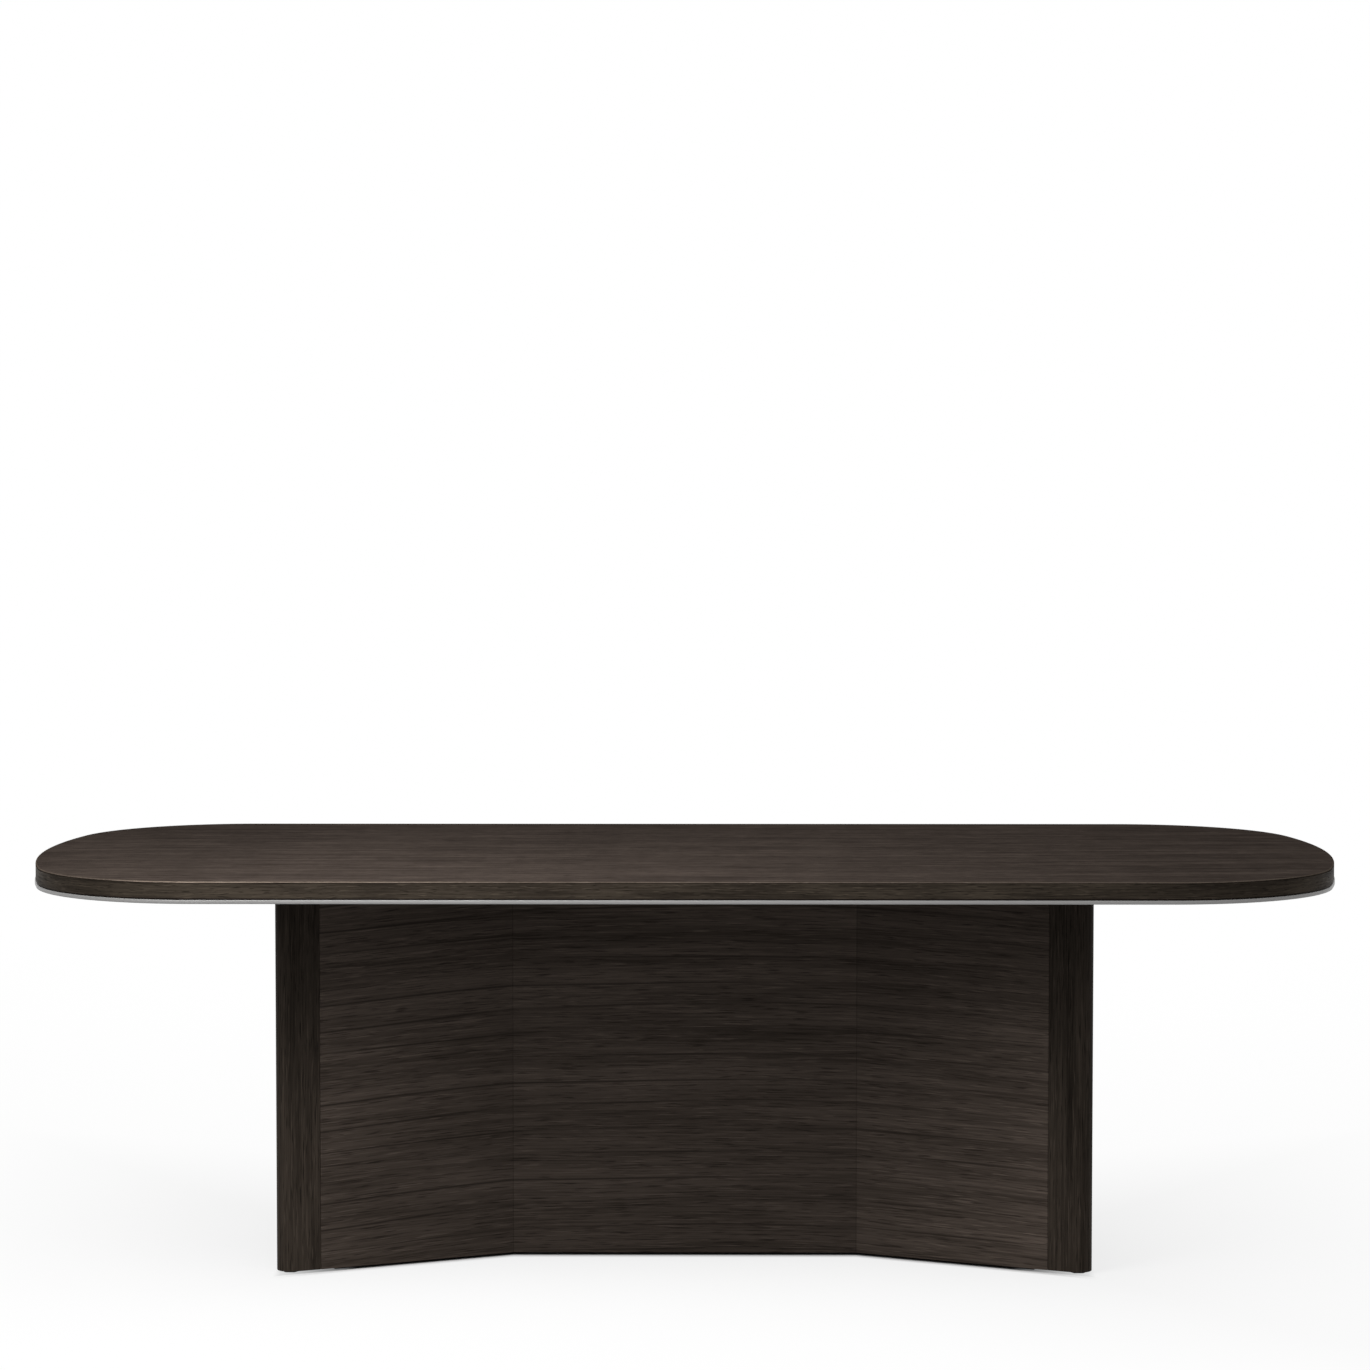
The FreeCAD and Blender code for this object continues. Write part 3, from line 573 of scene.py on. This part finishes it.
POST_OAK = (paint(24, 20, 16), paint(69, 61, 54), paint(17, 14, 11))
POST_BOTTOM, POST_TOP = (corner.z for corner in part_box("front_right_post"))
NOSE_POINTS = 49
GROOVE = 0.0012
EASE = 0.0008
RECESS_RADIUS = 0.0195
RECESS_TOP = 0.0083
SLEEVE_ROOM = 0.0089
STUD_ROOM_TOP = 0.050
# Height on the post and the factor of the tone there: painted light towards the foot and painted shade
# towards the head, under the top.
PAINTED_LIGHT_FOOT = (0.10, 1.18)
PAINTED_SHADE_HEAD = (0.65, 0.85)
# Each post's place along the log, by its side to the right and to the front.
LOG_STEPS = (0.9, 0.37)


def post_points():
    """Closed loops of the post from its top down and up into the hollow for the leveller.

    The plan is a half circle with straight sides and a grooved back. Every loop is that plan, the
    plan drawn in a little, or a circle about the leveller, with points in the same directions.
    """
    turn = np.linspace(-np.pi / 2, np.pi / 2, NOSE_POINTS)
    half = POST_DEPTH / 2
    nose = np.stack([POST_STRAIGHT + half * np.cos(turn), half + half * np.sin(turn)], axis=-1)
    back = np.array([[GROOVE, POST_DEPTH], [0, POST_DEPTH - GROOVE], [0, GROOVE], [GROOVE, 0]])
    plan = np.concatenate([nose, back])
    plan = wing_plan(WING_LENGTH + plan[:, 0], plan[:, 1])
    axis = LEVELLER_PLACE
    outward = (plan - axis) / np.linalg.norm(plan - axis, axis=1, keepdims=True)
    recess = axis + RECESS_RADIUS * outward
    room = axis + SLEEVE_ROOM * outward
    rings = [
        (plan, POST_TOP),
        (plan, POST_BOTTOM + EASE),
        (plan - EASE * outward, POST_BOTTOM),
        (recess, POST_BOTTOM),
        (recess, RECESS_TOP),
        (room, RECESS_TOP),
        (room, STUD_ROOM_TOP),
    ]
    loops = [np.column_stack([ring, np.full(len(ring), height)]) for ring, height in rings]
    return np.concatenate(loops), len(loops), len(plan)


def post_finish(name, log):
    """Oak of one post, from its own place along the log, with painted light towards the foot and painted
    shade towards the head, as in the photo.
    """
    low, paler = PAINTED_LIGHT_FOOT
    high, darker = PAINTED_SHADE_HEAD

    def tone(tree, vector):
        """Factor at a place, from its height alone."""
        height = put(tree, "ShaderNodeSeparateXYZ", {0: vector}).outputs["X"]
        return remap(tree, height, log + low, log + high, paler, darker)

    axes = ((0, 0, 1, log), (1, 0, 0, log), (0, 1, 0, 0))
    return grained_finish(name, *axes, POST_OAK, shorten=1.4, tone=tone)


post_loops, post_rows, post_around = post_points()
post_faces = skin_between(post_rows, post_around)
for quarter, (sign_x, sign_y) in QUARTER_SIGNS.items():
    finish = post_finish(quarter + "_post_oak", LOG_STEPS[0] * sign_x + LOG_STEPS[1] * sign_y)
    faces = post_faces if sign_x * sign_y < 0 else [face[::-1] for face in post_faces]
    post = mesh_piece(quarter + "_post_piece", post_loops * (sign_x, sign_y, 1), faces, finish)
    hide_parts(quarter + "_post")
    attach(post, "table")


# Steel under the top: two tie plates let into the wings and two stiffener bars.
# Flat hot-rolled steel, drilled, with black powder coat baked on, held by plated bolts and screws.

powder_coat = pebbled_finish(
    "powder_coat", paint(19, 19, 20), paint(25, 25, 26),
    grain=900.0, depth=0.0001, roughness=0.5, specular=0.4,
)
finish_nodes(powder_coat, ["stiffener_front", "stiffener_rear", "tie_plate_left", "tie_plate_right"])
PLATE_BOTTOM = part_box("tie_plate_left")[0].z
BOLT_PLACE = wing_plan(along=0.300, depth=0.090)
BOLT_ACROSS_FLATS = 0.0130
BOLT_HEAD = 0.0060
CHAMFER = math.radians(30)
CHAMFER_START = 0.0062
hexagon = six_sided(BOLT_ACROSS_FLATS)
# Radius and height over the plate's underside, from the middle of the head out and up to the thread.
HEAD_RINGS = [
    (0.0030, 0.0003 - BOLT_HEAD),
    (0.0040, -BOLT_HEAD),
    (CHAMFER_START, -BOLT_HEAD),
    (hexagon, (hexagon - CHAMFER_START) * math.tan(CHAMFER) - BOLT_HEAD),
    (hexagon, -0.0003),
    (0.0060, 0.0000),
    (0.0040, 0.0000),
]
BOLT_RINGS = HEAD_RINGS + thread_rings(width=0.0080, pitch=0.00125, bottom=0.0004, top=0.0220)
bolt_places = [(*BOLT_PLACE * signs, PLATE_BOTTOM) for signs in QUARTER_SIGNS.values()]
fastened("top_bolts", BOLT_RINGS, bolt_places, zinc, "table")


# Sizes of a screw's head as shares of its width, turns of thread over the width of the shank, and
# three small lengths that are the same on all screws.
FACE_RINGS = np.array([0.02, 0.09, 0.16, 0.23, 0.30, 0.33, 0.40, 0.46, 0.50])
DOME = 0.07
RECESS_DEPTH = 0.345
RECESS_SLOPE = 0.3 / 0.33
RECESS_REACH = 0.32
RECESS_ARM = 0.075
TURNS_PER_WIDTH = 2.2
HEAD_EDGE = 0.0002
BARE_SHANK = 0.0004
SCREW_POINT = 0.0012


def wood_screw_rings(head, shank, length):
    """Rings of a wood screw that points up, its head at the origin, as pairs of radius and height.

    The face is a low dome that falls off with the square of the reach. Within the arms of a cross a
    recess goes in, deepest in the middle and shallower evenly outwards. A square countersink and a
    coarse thread follow, and the last ring is the point.
    """
    reach = head * FACE_RINGS[:, None]
    arm = np.minimum(np.abs(np.cos(AROUND)), np.abs(np.sin(AROUND))) * reach
    in_cross = (reach < RECESS_REACH * head) * (arm < RECESS_ARM * head)
    recess = (RECESS_DEPTH * head - RECESS_SLOPE * reach) * in_cross
    dome = DOME * head * (1 - (2 * reach / head) ** 2)
    face = list(zip(np.broadcast_to(reach, recess.shape), recess - dome))
    neck = (head - shank) / 2
    cone = [(head / 2, HEAD_EDGE), (shank / 2, neck)]
    thread = thread_rings(shank, shank / TURNS_PER_WIDTH, neck + BARE_SHANK, length - SCREW_POINT)
    return face + cone + thread + [(shank / 6, length)]


STIFFENER_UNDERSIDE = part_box("stiffener_front")[0].z
BAR_MIDDLE = 0.330
BAR_SCREWS = np.linspace(-0.860, 0.860, 4)
bar_places = [(x, y, STIFFENER_UNDERSIDE) for y in (-BAR_MIDDLE, BAR_MIDDLE) for x in BAR_SCREWS]
bar_screw = wood_screw_rings(head=0.0090, shank=0.0044, length=0.0240)
fastened("stiffener_screws", bar_screw, bar_places, zinc, "table")


# Board of the top: a chipboard core between its edges, with a plain backing veneer underneath.
# The backing is smoked oak of a lower grade, lacquered thin, so it is duller than the face.

BACKING_OAK = (paint(24, 20, 17), paint(46, 39, 33), paint(16, 13, 11))
BACKING_AXES = ((1, 0, 0, 2.3), (0, 1, 0, 0.4), (0, 0, 1, 0))
backing = grained_finish("backing_oak", *BACKING_AXES, BACKING_OAK, leaf=0.24, lines=0.3)
finish_nodes(backing, ["backing_veneer"])
CHIP_WOOD = (paint(122, 94, 66), paint(176, 144, 106))
CHIP_GAP = paint(80, 60, 42)
CHIPS_PER_METRE = (160.0, 230.0, 700.0)
CHIP_EDGE = (0.5, 0.8, 0.0, 0.6)
CHIP_DEPTH = 0.0001


def pressed_chip_finish():
    """Wood chips pressed flat with glue: each cell of the pattern is a chip with a tone of its own,
    and the places far from a cell's middle are the dark gaps between chips."""
    finish, tree, shader = new_finish("chipboard", specular=0.1, roughness=0.8)
    inputs = {0: object_place(tree), 1: CHIPS_PER_METRE}
    scaled = put(tree, "ShaderNodeVectorMath", inputs, operation="MULTIPLY").outputs[0]
    chips = put(tree, "ShaderNodeTexVoronoi", {"Vector": scaled, "Scale": 1.0}).outputs
    tone = put(tree, "ShaderNodeSeparateColor", {0: chips["Color"]}).outputs[0]
    gap = remap(tree, chips["Distance"], *CHIP_EDGE)
    colour = blend_colours(tree, gap, blend_colours(tree, tone, *CHIP_WOOD), CHIP_GAP)
    tree.links.new(colour, shader.inputs["Base Color"])
    raise_surface(tree, shader, calc(tree, "SUBTRACT", tone, gap), CHIP_DEPTH)
    return finish


finish_nodes(pressed_chip_finish(), ["top_core"])


# Edge of the top: solid smoked oak lippings glued round the core, bent at the corners and ends.
# Their grain follows the edge, and they are planed flush with the core, so the face covers them.

HALF_LENGTH = 1.200
HALF_WIDTH = 0.550
CORNER_RADIUS = 0.320
END_RADIUS = 1.350
RIM_POINTS = 49


def rim_stretch(stretch):
    """Plan points and outward normals of one stretch of the top's outline, in order anticlockwise.

    A corner is an arc of the small radius, an end an arc of the large one that touches it, and a
    long side is straight.
    """
    end_centre = HALF_LENGTH - END_RADIUS
    corner_y = HALF_WIDTH - CORNER_RADIUS
    reach = END_RADIUS - CORNER_RADIUS
    blend = math.asin(corner_y / reach)
    corner_x = end_centre + reach * math.cos(blend)
    arcs = {
        "right_end": (end_centre, 0, END_RADIUS, -blend, blend),
        "rear_right": (corner_x, corner_y, CORNER_RADIUS, blend, math.pi / 2),
        "rear_left": (-corner_x, corner_y, CORNER_RADIUS, math.pi / 2, math.pi - blend),
        "left_end": (-end_centre, 0, END_RADIUS, math.pi - blend, math.pi + blend),
        "front_left": (-corner_x, -corner_y, CORNER_RADIUS, math.pi + blend, 1.5 * math.pi),
        "front_right": (corner_x, -corner_y, CORNER_RADIUS, -math.pi / 2, -blend),
    }
    if stretch in arcs:
        x, y, radius, start, stop = arcs[stretch]
        angle = np.linspace(start, stop, RIM_POINTS)
        normals = np.stack([np.cos(angle), np.sin(angle)], axis=-1)
        return np.array([x, y]) + radius * normals, normals
    sign = -1 if stretch == "front" else 1
    x = -sign * np.linspace(-corner_x, corner_x, RIM_POINTS)
    side = np.stack([x, np.full(RIM_POINTS, sign * HALF_WIDTH)], axis=-1)
    return side, np.tile([0.0, sign], (RIM_POINTS, 1))


RIM_ORDER = (
    "rear", "rear_left", "left_end", "front_left", "front", "front_right", "right_end", "rear_right",
)


def rim_run(stretches):
    """Points, normals and distance from the start of the rim for some stretches that follow on."""
    parts = [rim_stretch(name) for name in stretches]
    points, normals = (np.concatenate(part) for part in zip(*parts))
    steps = np.linalg.norm(np.diff(points, axis=0), axis=1)
    kept = np.concatenate([[True], steps > TINY])
    before = RIM_ORDER[:RIM_ORDER.index(stretches[0])]
    start = sum(np.linalg.norm(np.diff(rim_stretch(name)[0], axis=0), axis=1).sum() for name in before)
    run = start + np.concatenate([[0], np.cumsum(steps)])
    return points[kept], normals[kept], run[kept]


def carried_along(stretches, profile):
    """A closed profile carried along the rim, as points, faces and runs.

    Each point is a rim point moved in by the inset of a corner of the profile and set at its height.
    The runs are metres along the rim and round the profile.
    """
    points, normals, run = rim_run(stretches)
    inset, height = np.asarray(profile).T
    plan = points[:, None, :] - inset[None, :, None] * normals[:, None, :]
    heights = np.broadcast_to(height, plan.shape[:2])
    girth = np.concatenate([[0], np.cumsum(np.hypot(np.diff(inset), np.diff(height)))])
    runs = np.stack(np.broadcast_arrays(run[:, None], girth[None, :]), axis=-1)
    placed = np.concatenate([plan, heights[..., None]], axis=-1)
    return placed.reshape(-1, 3), skin_between(len(points), len(profile)), runs.reshape(-1, 2)


EDGE_OAK = (paint(22, 18, 15), paint(75, 67, 58), paint(16, 13, 10))


def edge_finish():
    """Oak whose grain follows the piece's own run."""
    finish, tree, shader = new_finish("edge_oak", specular=0.02)
    run = put(tree, "ShaderNodeUVMap", uv_map="run").outputs["UV"]
    dress_with_grain(tree, shader, run, EDGE_OAK, shorten=2.6)
    return finish


edge_oak = edge_finish()
CORE_BOTTOM, CORE_TOP = (corner.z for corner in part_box("top_core"))
LIPPING_DEPTH = 0.012
BOARD_INSET = 0.0015
CORE_INSET = BOARD_INSET + LIPPING_DEPTH
LIPPING_PROFILE = [
    (BOARD_INSET, CORE_BOTTOM),
    (BOARD_INSET, CORE_TOP),
    (CORE_INSET, CORE_TOP),
    (CORE_INSET, CORE_BOTTOM),
]
for stretch in RIM_ORDER:
    points, faces, runs = carried_along([stretch], LIPPING_PROFILE)
    lipping = mesh_piece("lipping_" + stretch + "_piece", points, faces, edge_oak, runs)
    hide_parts("lipping_" + stretch)
    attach(lipping, "table")


# Trim under the rim: an aluminium angle, satin brushed along its length and clear anodised.
# Two straight lengths and two bent ends, screwed up into the board through the flange.

LIP_FOOT, UNDERSIDE = (corner.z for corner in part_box("trim_front"))
FLANGE_WIDTH = 0.0220
WALL = 0.0030
SCREW_INSET = (CORE_INSET + FLANGE_WIDTH) / 2
SCREW_SPACING = 0.420
SATIN = (paint(132, 131, 130), paint(153, 152, 151))
BRUSH_LINES = (9.0, 2600.0, 1.0)
BRUSH_CLOUDS = (2.0, 40.0, 1.0)
LINE_SHARE = 0.6
CLOUDY_SHARE = 0.4
SATIN_SHEEN = (0.34, 0.48)
BRUSH_DEPTH = 0.00002
# Inset and height of each corner, up the outer side and back down the inner one; both outer edges
# are rounded.
TRIM_PROFILE = [
    (0.0003, LIP_FOOT + 0.0007),
    (0.0000, LIP_FOOT + 0.0015),
    (0.0000, UNDERSIDE - 0.0006),
    (0.0002, UNDERSIDE - 0.0002),
    (0.0006, UNDERSIDE),
    (FLANGE_WIDTH, UNDERSIDE),
    (FLANGE_WIDTH, UNDERSIDE - WALL),
    (WALL, UNDERSIDE - WALL),
    (WALL, LIP_FOOT),
    (0.0015, LIP_FOOT),
    (0.0007, LIP_FOOT + 0.0003),
]
TRIM_STRETCHES = {
    "front": ["front"],
    "right_end": ["front_right", "right_end", "rear_right"],
    "rear": ["rear"],
    "left_end": ["rear_left", "left_end", "front_left"],
}


def brushed_finish():
    """Satin metal: fine lines along the run in colour, sheen and bump."""
    finish, tree, shader = new_finish("satin_trim", metallic=0.30)
    run = put(tree, "ShaderNodeUVMap", uv_map="run").outputs["UV"]
    lines = stretched_noise(tree, run, BRUSH_LINES, detail=3.0, roughness=0.6)
    clouds = stretched_noise(tree, run, BRUSH_CLOUDS, detail=2.0)
    lined = calc(tree, "MULTIPLY", lines, LINE_SHARE)
    shade = calc(tree, "ADD", lined, calc(tree, "MULTIPLY", clouds, CLOUDY_SHARE))
    colour = blend_colours(tree, remap(tree, shade, *NOISE_RANGE), *SATIN)
    tree.links.new(colour, shader.inputs["Base Color"])
    tree.links.new(remap(tree, lines, *NOISE_RANGE, *SATIN_SHEEN), shader.inputs["Roughness"])
    raise_surface(tree, shader, lines, BRUSH_DEPTH)
    return finish


satin_trim = brushed_finish()
for name, stretches in TRIM_STRETCHES.items():
    points, faces, runs = carried_along(stretches, TRIM_PROFILE)
    trim = mesh_piece("trim_" + name + "_piece", points, faces, satin_trim, runs)
    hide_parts("trim_" + name)
    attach(trim, "table")


def flange_places(stretches):
    """Middles of equal steps along the flange, at the inset of its screws."""
    points, normals, _ = rim_run(stretches)
    line = points - SCREW_INSET * normals
    along = np.concatenate([[0], np.cumsum(np.linalg.norm(np.diff(line, axis=0), axis=1))])
    count = max(2, round(along[-1] / SCREW_SPACING))
    middles = along[-1] * (np.arange(count) + 0.5) / count
    plan = [np.interp(middles, along, line[:, axis]) for axis in (0, 1)]
    return np.stack([*plan, np.full(count, UNDERSIDE - WALL)], axis=-1)


trim_places = np.concatenate([flange_places(stretches) for stretches in TRIM_STRETCHES.values()])
trim_screw = wood_screw_rings(head=0.0070, shank=0.0035, length=0.0160)
fastened("trim_screws", trim_screw, trim_places, zinc, "table")


# Face of the top: smoked oak veneer laid in leaves along the table, over the core and the lippings.
# The upper arris is rounded over and painted paler as a highlight, and a dark glue line lies under it.

TOP_OAK = (paint(45, 39, 36), paint(80, 71, 65), paint(35, 30, 27))
# The paler oak of the arris is a painted highlight.
ARRIS_HIGHLIGHT_OAK = (paint(84, 74, 66), paint(112, 101, 91), paint(66, 58, 51))
GLUE_LINE = (paint(22, 18, 15), paint(40, 34, 29), paint(16, 13, 10))
TABLE_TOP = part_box("top_veneer")[1].z
ARRIS = 0.0024
ARRIS_ROWS = 6
# Insets of the innermost ring underneath and of the rings on the flat.
UNDER_RING = 0.2
FLAT_RINGS = [0.1, 0.3]
# Rows of faces, counted from the one underneath, that show the glue line; the arris follows on.
GLUE_ROWS = (1, 2)
# Distances along or across the table from which and to which the tone changes, and its factors there;
# the first two fade the arris's painted highlight.
ARRIS_HIGHLIGHT_FADE = (-0.90, -0.30, 1.50, 0.76)
ARRIS_HIGHLIGHT_END = (-1.02, -0.95, 0.50, 1.00)
# Painted light to the right of the face and painted shade to its back.
PAINTED_LIGHT_TO_RIGHT = (0.30, 1.00, 0.99, 1.09)
PAINTED_SHADE_TO_BACK = (0.55, 1.05, 1.01, 0.94)
PATCHES = (15.0, 9.0, 1.0)
PATCH_TONES = (0.35, 0.65, 0.92, 1.08)


def top_face_points():
    """Rings of the face from its lower rim over the rounded arris to a flat middle.

    Each ring is the whole outline moved in by an inset, at a height; the arris is a quarter circle.
    """
    points, normals, _ = rim_run(RIM_ORDER)
    points, normals = points[:-1], normals[:-1]
    turn = np.linspace(0, np.pi / 2, ARRIS_ROWS)
    inset = np.concatenate([[UNDER_RING, 0], ARRIS * (1 - np.cos(turn)), FLAT_RINGS]) + BOARD_INSET
    rounding = TABLE_TOP - ARRIS + ARRIS * np.sin(turn)
    height = np.concatenate([[CORE_TOP, CORE_TOP], rounding, [TABLE_TOP, TABLE_TOP]])
    plan = points[None] - inset[:, None, None] * normals[None]
    heights = np.broadcast_to(height[:, None, None], plan.shape[:2] + (1,))
    return np.concatenate([plan, heights], axis=-1).reshape(-1, 3), len(inset), len(points)


def arris_highlight_tone(tree, vector):
    """Factor of the arris's painted highlight: palest at the left of the long sides and least pale round
    the left end, as in the photo."""
    along = put(tree, "ShaderNodeSeparateXYZ", {0: vector}).outputs["X"]
    return calc(tree, "MULTIPLY", remap(tree, along, *ARRIS_HIGHLIGHT_FADE), remap(tree, along, *ARRIS_HIGHLIGHT_END))


def mottle_and_painted_light_tone(tree, vector):
    """Factor of the face's tone: soft patches in the veneer, and painted light and shade, a little paler
    to the right and darker to the back.
    """
    split = put(tree, "ShaderNodeSeparateXYZ", {0: vector}).outputs
    mottle = stretched_noise(tree, vector, PATCHES, detail=3.0, roughness=0.6)
    patches = remap(tree, mottle, *PATCH_TONES)
    painted_light_and_shade = calc(tree, "MULTIPLY", remap(tree, split["X"], *PAINTED_LIGHT_TO_RIGHT), remap(tree, split["Y"], *PAINTED_SHADE_TO_BACK))
    return calc(tree, "MULTIPLY", patches, painted_light_and_shade)


face_points, face_rows, face_around = top_face_points()
top_axes = ((1, 0, 0, 0), (0, 1, 0, HALF_WIDTH), (0, 0, 1, 0))
top_oak = grained_finish(
    "top_oak", *top_axes, TOP_OAK,
    specular=0.0, leaf=LEAF_HEIGHT, lines=0.5, shorten=2.6, tone=mottle_and_painted_light_tone,
)
arris_painted_highlight = grained_finish(
    "arris_painted_highlight", *top_axes, ARRIS_HIGHLIGHT_OAK, specular=0.0, shorten=5.0, tone=arris_highlight_tone,
)
glue_line = grained_finish("glue_line", *top_axes, GLUE_LINE, specular=0.0)
top_face = mesh_piece("top_face", face_points, skin_between(face_rows, face_around), top_oak)
top_face.data.materials.append(arris_painted_highlight)
top_face.data.materials.append(glue_line)
row_of_face = np.arange(len(top_face.data.polygons)) // face_around
# The arris rows take the painted highlight, and the rows under them the glue line.
on_joint = np.isin(row_of_face, GLUE_ROWS)
on_arris = (row_of_face > max(GLUE_ROWS)) & (row_of_face <= ARRIS_ROWS)
top_face.data.polygons.foreach_set("material_index", (on_arris + 2 * on_joint).astype(np.int32))
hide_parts("top_veneer")
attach(top_face, "table")


# Studio: a pale floor that keeps the table's shadow and fades into a white background,
# three soft lights from the front left, one behind, and even light all round.

FLOOR_BOUNCE = 0.45
FLOOR_SEEN = 0.95
FLOOR_PAINTED_SHADOW = 0.12
SCREEN_REACH = 0.745
SCREEN_DEPTH = 0.055
# Distances from the screens from which and to which the floor changes, and its factors there; the first
# three bound the painted shadow under the screens.
BEHIND_SCREEN = (-SCREEN_DEPTH - 0.010, -SCREEN_DEPTH, 1.0, 0.0)
BEFORE_FACE = (-0.003, 0.006, 0.0, 1.0)
BEYOND_POSTS = (-0.008, 0.004, 0.0, 1.0)
GLOW_AT_FACE = (0.000, 0.025, 0.0, 0.80)
GLOW_AT_POSTS = (-0.140, 0.008, 0.0, 0.80)
GLOW_NEAR = (0.02, 0.80, 0.0, 0.15)
GLOW_FAR = (0.80, 4.00, 0.0, 0.05)


def seen_rays(tree):
    """1 for rays from the camera and for those that metal and glass send on, else 0."""
    path = tree.nodes.new("ShaderNodeLightPath").outputs
    seen = calc(tree, "MAXIMUM", path["Is Camera Ray"], path["Is Glossy Ray"])
    return calc(tree, "MAXIMUM", seen, path["Is Transmission Ray"])


def floor_finish():
    """Pale floor that glows white in sight, but not between the screens, with a painted shadow right
    under them.

    Off the face means beyond the line that the screens draw on the floor, measured square to X, and
    off the posts means beyond the ends of the screens. From below the floor can't be seen.
    """
    finish, tree, shader = new_finish("studio_floor", specular=0.0, roughness=0.9)
    seen = seen_rays(tree)
    split = put(tree, "ShaderNodeSeparateXYZ", {0: object_place(tree)}).outputs
    out_x = calc(tree, "ABSOLUTE", split["X"])
    out_y = calc(tree, "ABSOLUTE", split["Y"])
    past_crease = calc(tree, "MAXIMUM", calc(tree, "SUBTRACT", out_x, CREASE[0]), 0.0)
    fold = calc(tree, "MULTIPLY", past_crease, math.tan(WING_ANGLE))
    off_face = calc(tree, "SUBTRACT", out_y, calc(tree, "ADD", fold, -CREASE[1]))
    off_posts = calc(tree, "SUBTRACT", out_x, SCREEN_REACH)
    off_screens = calc(tree, "MAXIMUM", off_face, off_posts)

    # Painted shadow: the floor's colour in sight falls dark right under the screens.
    clear = remap(tree, off_face, *BEHIND_SCREEN)
    clear = calc(tree, "MAXIMUM", clear, remap(tree, off_face, *BEFORE_FACE))
    clear = calc(tree, "MAXIMUM", clear, remap(tree, off_posts, *BEYOND_POSTS))
    in_sight = remap(tree, clear, 0.0, 1.0, FLOOR_PAINTED_SHADOW, FLOOR_SEEN)
    tree.links.new(remap(tree, seen, 0.0, 1.0, FLOOR_BOUNCE, in_sight), shader.inputs["Base Color"])

    at_face = remap(tree, off_face, *GLOW_AT_FACE)
    at_posts = remap(tree, off_posts, *GLOW_AT_POSTS)
    share = calc(tree, "MAXIMUM", at_face, at_posts)
    share = calc(tree, "ADD", share, remap(tree, off_screens, *GLOW_NEAR))
    share = calc(tree, "ADD", share, remap(tree, off_screens, *GLOW_FAR))
    share = calc(tree, "MULTIPLY", share, seen)
    glow = put(tree, "ShaderNodeEmission", {"Color": (1, 1, 1, 1), "Strength": 1.0})
    mix = put(tree, "ShaderNodeMixShader", {"Fac": share, 1: shader.outputs[0], 2: glow.outputs[0]})
    from_below = tree.nodes.new("ShaderNodeNewGeometry").outputs["Backfacing"]
    unseen = tree.nodes.new("ShaderNodeBsdfTransparent").outputs[0]
    floor_or_none = put(tree, "ShaderNodeMixShader", {"Fac": from_below, 1: mix.outputs[0], 2: unseen})
    tree.links.new(floor_or_none.outputs[0], tree.nodes["Material Output"].inputs["Surface"])
    return finish


FLOOR_HALF = 30.0
FLOOR_HEIGHT = -0.0005
FLOOR_SIGNS = np.array([(-1, -1), (1, -1), (1, 1), (-1, 1)])
floor_corners = np.column_stack([FLOOR_SIGNS * FLOOR_HALF, np.full(4, FLOOR_HEIGHT)])
floor = mesh_piece("floor", floor_corners, [[0, 1, 2, 3]], floor_finish())


def soft_light(name, place, aim, size, power):
    """Square lamp at a place, turned to face a point."""
    lamp = bpy.data.lights.new(name, "AREA")
    lamp.shape = "SQUARE"
    lamp.size = size
    lamp.energy = power
    holder = bpy.data.objects.new(name, lamp)
    holder.location = place
    holder.visible_camera = False
    holder.rotation_euler = (Vector(aim) - Vector(place)).to_track_quat("-Z", "Y").to_euler()
    bpy.context.scene.collection.objects.link(holder)


FRONT_AIM = (-0.2, 0.0, 0.5)
REAR_AIM = (0.0, 0.0, 0.4)
soft_light("key", (-1.0, -1.6, 2.0), FRONT_AIM, size=1.2, power=24.0)
soft_light("side", (-2.2, -3.6, 2.2), FRONT_AIM, size=1.6, power=9.0)
soft_light("overhead", (-0.5, -0.9, 1.6), FRONT_AIM, size=0.8, power=7.5)
soft_light("rear", (0.0, 5.0, 1.0), REAR_AIM, size=2.0, power=60.0)

WORLD_LIGHT = 0.52
WORLD_SEEN = 1.0
world = bpy.data.worlds.new("studio")
bpy.context.scene.world = world
world.use_nodes = True
background = world.node_tree.nodes["Background"]
background.inputs["Color"].default_value = (1, 1, 1, 1)
level = remap(world.node_tree, seen_rays(world.node_tree), 0.0, 1.0, WORLD_LIGHT, WORLD_SEEN)
world.node_tree.links.new(level, background.inputs["Strength"])

CAMERA_PLACE = (0.0492, -8.0, 1.5474)
CAMERA_DIP = 0.060513
CAMERA_TURN = 0.006133
CAMERA_LENS = 112.943
SENSOR_WIDTH = 36.0
camera_data = bpy.data.cameras.new("camera")
camera_data.lens = CAMERA_LENS
camera_data.sensor_width = SENSOR_WIDTH
camera = bpy.data.objects.new("camera", camera_data)
camera.location = CAMERA_PLACE
camera.rotation_euler = (math.pi / 2 - CAMERA_DIP, 0, CAMERA_TURN)
bpy.context.scene.collection.objects.link(camera)
bpy.context.scene.camera = camera
bpy.context.scene.view_settings.view_transform = "Standard"
